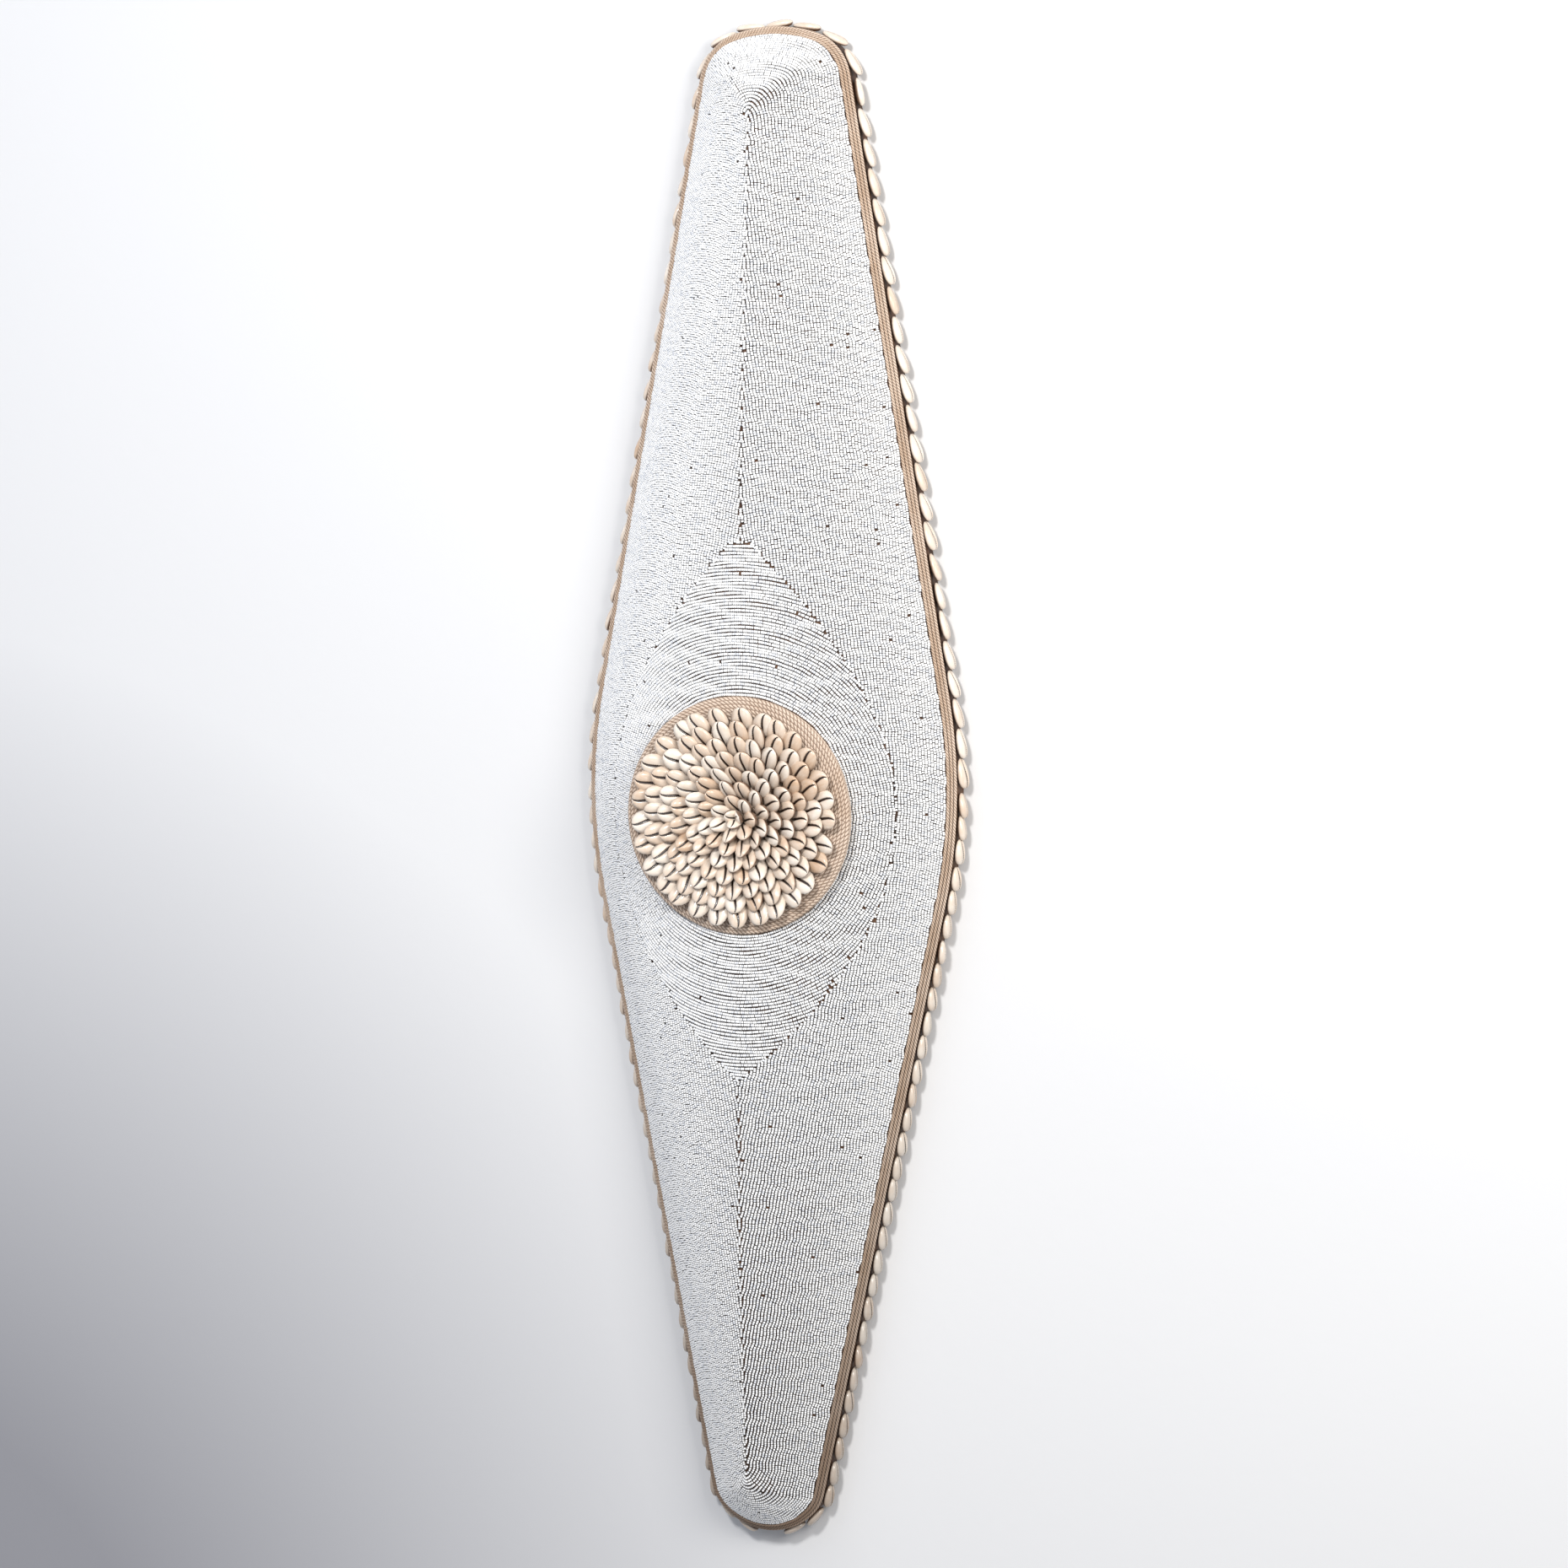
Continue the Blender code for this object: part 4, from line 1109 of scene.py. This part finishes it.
def wound_pad(material):
    """A pad of cord wound flat: a section turned round its middle, its rows swelling strand by strand."""
    knots = pad_knots()
    reached = surface_steps(knots)
    rows = round(reached[-1] / CORD_PITCH)
    places = np.linspace(0.0, reached[-1], rows * PAD_ROW_STEPS + 1)[:-1]
    section = line_point(knots, reached, places)
    ahead = unit(np.gradient(section, axis=0))
    share = np.arange(len(places)) % PAD_ROW_STEPS / PAD_ROW_STEPS
    row = np.arange(len(places)) // PAD_ROW_STEPS
    turn = 2 * math.pi * np.arange(PAD_TURN_STEPS)[:, None] / PAD_TURN_STEPS
    strands = np.round(2 * math.pi * section[::PAD_ROW_STEPS, 0] / PAD_STRAND_PITCH)
    phase = turn * np.maximum(PAD_LEAST_STRANDS, strands)[row] / 2 + math.pi * share + row * PAD_ROW_SHIFT
    lobe = np.abs(np.cos(phase))
    swell = np.sqrt(np.maximum(0.0, 1.0 - (2 * share - 1.0) ** 2))
    relief = PAD_ROW_RELIEF * (swell * (1.0 - PAD_STRAND_DEPTH + PAD_STRAND_DEPTH * lobe) - 1.0)
    radius = section[:, 0] + ahead[:, 1] * relief
    height = section[:, 1] - ahead[:, 0] * relief
    inward = np.clip((PAD_RADIUS - PAD_ROLL * PAD_TOP_INSET - section[:, 0]) / RING_PITCH, 0.0, None)
    drift = RING_SHIFT * np.clip(inward, 0.0, len(RING_COUNTS) - 1)
    x = PAD_CENTRE[0] + drift + radius * np.cos(turn)
    y = PAD_CENTRE[1] + radius * np.sin(turn)
    hub = np.array(((PAD_CENTRE[0] + drift[-1], PAD_CENTRE[1], knots[-1, 1]),
                    (PAD_CENTRE[0], PAD_CENTRE[1], knots[0, 1])))
    points = np.concatenate((np.stack((x, y, height), axis=2).reshape(-1, 3), hub))
    step = np.arange(PAD_TURN_STEPS) * len(places)
    grid = grid_faces(PAD_TURN_STEPS, len(places), wrap_rows=True, wrap_columns=False)[:, [0, 3, 2, 1]]
    top = fan(step + len(places) - 1, len(points) - 2)
    base = fan(step, len(points) - 1)[:, [1, 0, 2]]
    # Painted shade between the pad's rows: the groove value grows where a row's swell falls away
    groove = np.broadcast_to(1.0 - swell, lobe.shape)
    run = np.broadcast_to(turn * PAD_FIBRE_RUN + row, phase.shape)
    lay = np.stack((np.cos(phase), np.sin(phase), run), axis=2)
    values = {
        "groove": np.append(groove.ravel(), (1.0, 1.0)),
        "lay": np.append(lay.reshape(-1, 3), hub, axis=0),
    }
    return put_mesh("wound_jute_pad", points, [grid, top, base], material, values)


class SHIELD_OT_boss_pad(bpy.types.Operator):
    """Winds the round pad of jute that carries the boss's shells"""

    bl_idname = "shield.boss_pad"
    bl_label = "Boss pad"

    def execute(self, context):
        settings = context.scene.shield_jute
        piece = wound_pad(jute_material(settings, "jute_winding", PAD_DARKNESS, PAD_STRANDS))
        finish_piece(piece, "jute", "boss_pad")
        return {"FINISHED"}


# Shell section from the slit round to the back, in degrees, and stations from its round end to its tip
SHELL_TURNS = np.radians((0.0, 5.2, 11.5, 42.0, 80.0, 130.0, 180.0, 230.0, 280.0, 318.0, 348.5, 354.8))
SHELL_STATIONS = np.radians((13.0, 34.0, 56.0, 78.0, 100.0, 122.0, 145.0, 166.0))
# Half angles of slit and teeth in degrees, the slit's depth, the teeth's share of it and the share of the
# slit's painted shade that lies on the teeth
SLIT_ANGLE = 1
TEETH_ANGLE = 6
SLIT_DEPTH = 0.42
TEETH_SHARE = 0.5
TEETH_DARKNESS = 0.62
LIP_RISE = 0.07
LIP_SHARPNESS = 6
SHELL_TAPER = 0.13
SHELL_FULLNESS = 0.72
BACK_FULLNESS = 0.8
# The slit bends as a wave of the station and hooks over towards the tip with a high power of it
SLIT_CURVE = 0.10
SLIT_BEND = 1.6
SLIT_HOOK = 0.8
SLIT_HOOK_POWER = 4
# Painted contact shade falls off from back to slit; at the two ends the slit's painted shade and the contact
# shade are set
SIDE_SHADE = 0.5
SHADE_FALL = 0.8
END_SLIT = (0.0, 0.35)
END_SHADE = (0.5, 0.3)
# Spreads of the boss's shells: turn, tilt, yaw and roll in radians, height in metres, size in shares
SHELL_TURN_SPREAD = 0.12
SHELL_TILT_SPREAD = math.radians(2.0)
SHELL_YAW_SPREAD = math.radians(5.0)
SHELL_ROLL_SPREAD = math.radians(9.0)
SHELL_HEIGHT_SPREAD = 0.0003
SHELL_SIZE_SPREAD = 0.045
SHELL_SIZE_LIMITS = (-0.09, 0.06)
SHELL_TONES = (2.0, 3.0)
SHELL_SWELL = 1.25
SHELL_CROWDING = 1.2
BOSS_SEED = 37
# The bud's first turn, its tilt, its shells' sizes in shares of the usual ones and how far out they stand
BUD_TURN = 0.4
BUD_TILT = math.radians(68.0)
BUD_SIZES = (1.05, 0.62, 0.95)
BUD_REACH = 0.0036
BUD_SIZE_SPREAD = 0.04


def cowrie_template(side_shade):
    """An egg as wide as the sine of its station, tapering to the tip, with a slit sunk along its face."""
    station, turn = SHELL_STATIONS[:, None], SHELL_TURNS[None, :]
    girth = np.sin(station) ** SHELL_FULLNESS * (1.0 + SHELL_TAPER * np.cos(station))
    near_slit = np.clip(np.cos(turn), 0.0, 1.0) ** LIP_SHARPNESS
    off_slit = np.abs(np.degrees((turn + math.pi) % (2 * math.pi) - math.pi))
    sunk = np.where(off_slit < TEETH_ANGLE, -SLIT_DEPTH * TEETH_SHARE, LIP_RISE * near_slit)
    sunk = np.where(off_slit < SLIT_ANGLE, -SLIT_DEPTH, sunk)
    bend = SLIT_CURVE * np.sin(SLIT_BEND * (station - math.pi / 2))
    bend = bend + SLIT_CURVE * SLIT_HOOK * (station / math.pi) ** SLIT_HOOK_POWER
    across = 0.5 * girth * (np.sin(turn) + near_slit * bend * 2)
    up = 0.5 * girth * np.sign(np.cos(turn)) * np.abs(np.cos(turn)) ** BACK_FULLNESS + 0.5 * girth * sunk
    along = np.broadcast_to(-0.5 * np.cos(station), up.shape)
    points = np.stack((along, across, up), axis=2).reshape(-1, 3)
    poles = np.array(((-0.5, 0.0, 0.0), (0.5, 0.0, 0.0)))
    # Where the slit's painted shade lies: full in the slit, less on the teeth
    slit = np.where(off_slit < SLIT_ANGLE, 1.0, np.where(off_slit < TEETH_ANGLE, TEETH_DARKNESS, 0.0))
    slit = np.append((slit * np.ones_like(station)).ravel(), END_SLIT)
    # Painted contact shade: the under value grows from the slit round to the back
    under = np.clip(side_shade - SHADE_FALL * np.cos(turn), 0.0, 1.0) * np.ones_like(station)
    under = np.append(under.ravel(), END_SHADE)
    grid = grid_faces(len(SHELL_STATIONS), len(SHELL_TURNS))
    first = np.arange(len(SHELL_TURNS))
    last = first + len(points) - len(SHELL_TURNS)
    ends = np.concatenate((fan(first, len(points))[:, [1, 0, 2]], fan(last, len(points) + 1)))
    return np.concatenate((points, poles)), [grid, ends], slit, under


def shell_piece(name, centres, along, up, sizes, tones, material, side_shade=SIDE_SHADE):
    """Shells as one mesh, each turned to its length and its slit; painted contact shade lies on back and
    sides.
    """
    shape, faces, slit, under = cowrie_template(side_shade)
    count, local = len(centres), shape[None] * sizes[:, None]
    verts = set_out(centres, local, along, np.cross(up, along), up)
    tone = np.broadcast_to(tones[:, None, None], local[..., :1].shape)
    values = {
        "slit": np.tile(slit, count),
        "under": np.tile(under, count),
        "tone": np.repeat(tones, len(shape)),
        "place": np.concatenate((local[..., 1:2], local[..., :1], tone), axis=2).reshape(-1, 3),
    }
    faces = [repeat_faces(group, count, len(shape)) for group in faces]
    return put_mesh(name, verts, faces, material, values)


def rolled(along, up, spread, rng):
    """The slits' directions turned round the shells' lengths by a random roll."""
    roll = rng.normal(0.0, spread, len(along))[:, None]
    return unit(up * np.cos(roll) + np.cross(along, up) * np.sin(roll))


def boss_ring(index, rng):
    """Centres and directions of one ring's shells, tips outwards and raised, each a little out of true."""
    radius, height, tilt, centre = ring_middle(index)
    count = RING_COUNTS[index]
    turn = 2 * math.pi * (np.arange(count) + 0.5 * (index % 2)) / count
    turn = turn + rng.normal(0.0, SHELL_TURN_SPREAD / count ** 0.5, count)
    tilts = tilt + rng.normal(0.0, SHELL_TILT_SPREAD, count)
    yaw = turn + rng.normal(0.0, SHELL_YAW_SPREAD, count)
    along = np.stack((np.cos(yaw) * np.cos(tilts), np.sin(yaw) * np.cos(tilts), np.sin(tilts)), axis=1)
    up = np.stack((-np.cos(yaw) * np.sin(tilts), -np.sin(yaw) * np.sin(tilts), np.cos(tilts)), axis=1)
    up = rolled(along, up, SHELL_ROLL_SPREAD, rng)
    plan = centre + radius * np.stack((np.cos(turn), np.sin(turn)), axis=1)
    centres = np.column_stack((plan, height + rng.normal(0.0, SHELL_HEIGHT_SPREAD, count)))
    return centres, along, up


class SHIELD_OT_boss_shells(bpy.types.Operator):
    """Sets rings of cowrie shells on the pad, each over the ring outside it, and a bud at the centre"""

    bl_idname = "shield.boss_shells"
    bl_label = "Boss shells"

    def execute(self, context):
        settings = context.scene.shield_shells
        material = cowrie_material(settings)
        rng = np.random.default_rng(BOSS_SEED)
        usual = np.array((SHELL_LENGTH, settings.boss_width, SHELL_THICKNESS * SHELL_SWELL))
        for index, count in enumerate(RING_COUNTS):
            centres, along, up = boss_ring(index, rng)
            sizes = usual * (1.0 + rng.normal(0.0, SHELL_SIZE_SPREAD, (count, 3)).clip(*SHELL_SIZE_LIMITS))
            widest = 2 * math.pi * ring_middle(index)[0] / count * SHELL_CROWDING
            sizes[:, 1] = np.minimum(sizes[:, 1], widest)
            tones = rng.beta(*SHELL_TONES, count)
            name = "boss_shells_%d" % (index + 1)
            piece = shell_piece(name, centres, along, up, sizes, tones, material)
            finish_piece(piece, "cowrie", "boss_cowries_%d" % (index + 1))
        piece = boss_bud(settings, material, rng)
        finish_piece(piece, "cowrie", "boss_cowries_bud")
        return {"FINISHED"}


def boss_bud(settings, material, rng):
    """Shells that stand nearly upright, back to back, at the middle of the boss."""
    centre = ring_middle(len(RING_COUNTS) - 1)[3]
    turn = 2 * math.pi * np.arange(BUD_SHELLS) / BUD_SHELLS + BUD_TURN
    out = np.stack((np.cos(turn), np.sin(turn), np.zeros(BUD_SHELLS)), axis=1)
    upright = np.array((0.0, 0.0, 1.0))
    along = out * math.cos(BUD_TILT) + upright * math.sin(BUD_TILT)
    up = upright * math.cos(BUD_TILT) - out * math.sin(BUD_TILT)
    size = np.array((BUD_LENGTH, settings.boss_width, SHELL_THICKNESS)) * BUD_SIZES
    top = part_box("boss_cowries_bud")[1].z
    centres = np.tile((*centre, top - size[0] * 0.5), (BUD_SHELLS, 1)) + out * BUD_REACH
    sizes = np.tile(size, (BUD_SHELLS, 1)) * (1.0 + rng.normal(0.0, BUD_SIZE_SPREAD, (BUD_SHELLS, 3)))
    tones = rng.beta(*SHELL_TONES, BUD_SHELLS)
    return shell_piece("boss_shells_bud", centres, along, up, sizes, tones, material)


# Edge shells: how they stray in place, lean off the wall, roll and differ in size and tone, and their painted
# contact shade
EDGE_SEED = 53
EDGE_PLACE_SPREAD = 0.0005
EDGE_LEAN = math.radians(8.0)
EDGE_LEAN_SPREAD = math.radians(2.0)
EDGE_ROLL_SPREAD = math.radians(7.0)
EDGE_SIZE_SPREAD = 0.035
EDGE_SIZE_LIMITS = (-0.08, 0.02)
EDGE_TONES = (1.8, 4.4)
EDGE_SIDE_SHADE = 0.12


class SHIELD_OT_edge_shells(bpy.types.Operator):
    """Sets cowrie shells end to end round the upright edge"""

    bl_idname = "shield.edge_shells"
    bl_label = "Edge shells"

    def execute(self, context):
        material = bpy.data.materials[SHELL_ENAMEL]
        rng = np.random.default_rng(EDGE_SEED)
        line = outline(-BAND_REACH - GAP)
        right = line[:len(line) // 2 + 1]
        reached = surface_steps(right)
        waist = reached[np.argmin(np.abs(right[:, 1] - WAIST_Y))]
        places, lengths = [], []
        for start, end, pitch in ((0.0, waist, EDGE_PITCH_TOP), (waist, reached[-1], EDGE_PITCH_FOOT)):
            count = max(1, round((end - start) / pitch))
            places.extend(start + (end - start) * np.arange(count) / count)
            lengths.extend([(end - start) / count] * count)
        places, lengths = np.array(places), np.array(lengths)
        for side, label in ((1, "right"), (-1, "left")):
            piece = edge_row(label, side, right, reached, places, lengths, material, rng)
            finish_piece(piece, "cowrie", "edge_cowries")
        return {"FINISHED"}


def edge_row(label, side, right, reached, places, lengths, material, rng):
    """One side's shells: centred on the wall at their places, tips to the top, round ends standing off."""
    first = 0 if side > 0 else 1
    places, lengths = places[first:], lengths[first:]
    count = len(places)
    place = places + rng.normal(0.0, EDGE_PLACE_SPREAD, count)
    span = EDGE_SHELL_WIDTH / 2
    point = line_point(right, reached, place)
    ahead = unit(line_point(right, reached, place + span) - line_point(right, reached, place - span))
    ahead[0] = (1.0, 0.0) if first == 0 else ahead[0]
    outward = crosswise(ahead)
    flip = np.array((side, 1.0))
    point, ahead, outward = point * flip, ahead * flip, outward * flip
    lean = rng.normal(EDGE_LEAN, EDGE_LEAN_SPREAD, count)[:, None]
    tipwards = np.column_stack((-ahead, np.zeros(count)))
    away = np.column_stack((outward, np.zeros(count)))
    along = tipwards * np.cos(lean) - away * np.sin(lean)
    up = away * np.cos(lean) + tipwards * np.sin(lean)
    up = rolled(along, up, EDGE_ROLL_SPREAD, rng)
    sizes = np.column_stack((lengths, np.tile((EDGE_SHELL_WIDTH, EDGE_SHELL_THICKNESS), (count, 1))))
    sizes = sizes * (1.0 + rng.normal(0.0, EDGE_SIZE_SPREAD, (count, 3)).clip(*EDGE_SIZE_LIMITS))
    height = WALL_HEIGHT - EDGE_SHELL_WIDTH / 2
    centres = np.column_stack((point + outward * EDGE_SHELL_THICKNESS / 2, np.full(count, height)))
    tones = rng.beta(*EDGE_TONES, count)
    name = "edge_shells_" + label
    return shell_piece(name, centres, along, up, sizes, tones, material, EDGE_SIDE_SHADE)


FLOOR_REACH = 6.0
FLOOR_CORNERS = ((-1.0, -1.0, 0.0), (1.0, -1.0, 0.0), (1.0, 1.0, 0.0), (-1.0, 1.0, 0.0))
ROOM_COLOUR = "#E9EEF8"
# Each soft light's name, place, width, the setting of its power, and its tint; all face the target
LIGHT_TARGET = (0.0, 0.3, 0.05)
LIGHTS = (
    ("top_light", (0.15, 1.2, 2.4), 0.35, "top", "#FFFFFF"),
    ("right_light", (1.55, 0.65, 1.6), 0.9, "right", "#FFFDF9"),
    ("left_light", (-1.1, 0.7, 1.4), 0.9, "left", "#D6E4FF"),
)


class SHIELD_OT_stage(bpy.types.Operator):
    """Makes the pale floor, the soft lights and the photograph's camera"""

    bl_idname = "shield.stage"
    bl_label = "Stage"

    def execute(self, context):
        settings = context.scene.shield_stage
        corners = FLOOR_REACH * np.array(FLOOR_CORNERS)
        floor = put_mesh("floor", corners, [np.array(((0, 1, 2, 3),))], plaster_material(settings))
        for name, place, size, power, tint in LIGHTS:
            lamp = bpy.data.lights.new(name, "AREA")
            lamp.size = size
            lamp.energy = getattr(settings, power)
            lamp.color = hex_colour(tint)
            holder = bpy.data.objects.new(name, lamp)
            holder.location = place
            aim = Vector(LIGHT_TARGET) - holder.location
            holder.rotation_euler = aim.to_track_quat("-Z", "Y").to_euler()
            context.scene.collection.objects.link(holder)
        world = bpy.data.worlds.new("soft_room")
        world.use_nodes = True
        background = world.node_tree.nodes["Background"]
        background.inputs["Color"].default_value = opaque(hex_colour(ROOM_COLOUR))
        background.inputs["Strength"].default_value = settings.sky
        context.scene.world = world
        context.scene.view_settings.view_transform = "Standard"
        make_camera(context)
        return {"FINISHED"}


def make_camera(context):
    """The camera looks back along its lean from the upright, turned by its roll."""
    leans = [math.tan(math.radians(angle)) for angle in (CAMERA_LEAN_RIGHT, CAMERA_LEAN_UP)]
    back = unit(np.array((*leans, 1.0)))
    level = unit(np.cross((0.0, 1.0, 0.0), back))
    upward = np.cross(back, level)
    roll = math.radians(CAMERA_ROLL)
    right = level * math.cos(roll) + upward * math.sin(roll)
    upward = upward * math.cos(roll) - level * math.sin(roll)
    camera = bpy.data.cameras.new("photo_camera")
    camera.lens = CAMERA_LENS
    camera.clip_end = 50.0
    holder = bpy.data.objects.new("photo_camera", camera)
    place = np.array(CAMERA_TARGET) + back * CAMERA_DISTANCE
    matrix = np.eye(4)
    matrix[:3, :4] = np.stack((right, upward, back, place), axis=1)
    holder.matrix_world = matrix.T
    context.scene.collection.objects.link(holder)
    context.scene.camera = holder


class SHIELD_PT_panel(bpy.types.Panel):
    """Lists the shield's pieces in the order in which they are made"""

    bl_idname = "SHIELD_PT_panel"
    bl_label = "Beaded Shield"
    bl_space_type = "VIEW_3D"
    bl_region_type = "UI"
    bl_category = "Shield"

    def draw(self, context):
        for group in SETTINGS:
            box = self.layout.box()
            values = getattr(context.scene, group)
            for name in SETTINGS[group].__annotations__:
                box.prop(values, name)
        for operator in OPERATORS:
            self.layout.operator(operator.bl_idname)


SETTINGS = {
    "shield_board": ShieldBoard,
    "shield_beads": ShieldBeads,
    "shield_jute": ShieldJute,
    "shield_shells": ShieldShells,
    "shield_stage": ShieldStage,
}
OPERATORS = (
    SHIELD_OT_stage,
    SHIELD_OT_board,
    SHIELD_OT_flank_beads,
    SHIELD_OT_lozenge_beads,
    SHIELD_OT_rim_cords,
    SHIELD_OT_boss_pad,
    SHIELD_OT_boss_shells,
    SHIELD_OT_edge_shells,
)


def register():
    """Registers the settings, the operators and the panel."""
    for name, group in SETTINGS.items():
        bpy.utils.register_class(group)
        setattr(bpy.types.Scene, name, bpy.props.PointerProperty(type=group))
    for item in (*OPERATORS, SHIELD_PT_panel):
        bpy.utils.register_class(item)


def unregister():
    """Takes the panel, the operators and the settings away again."""
    for item in (SHIELD_PT_panel, *reversed(OPERATORS)):
        bpy.utils.unregister_class(item)
    for name, group in SETTINGS.items():
        delattr(bpy.types.Scene, name)
        bpy.utils.unregister_class(group)


def main():
    """Makes every piece in order."""
    register()
    bpy.ops.shield.stage()
    bpy.ops.shield.board()
    bpy.ops.shield.flank_beads()
    bpy.ops.shield.lozenge_beads()
    bpy.ops.shield.rim_cords()
    bpy.ops.shield.boss_pad()
    bpy.ops.shield.boss_shells()
    bpy.ops.shield.edge_shells()


if __name__ == "__main__":
    main()
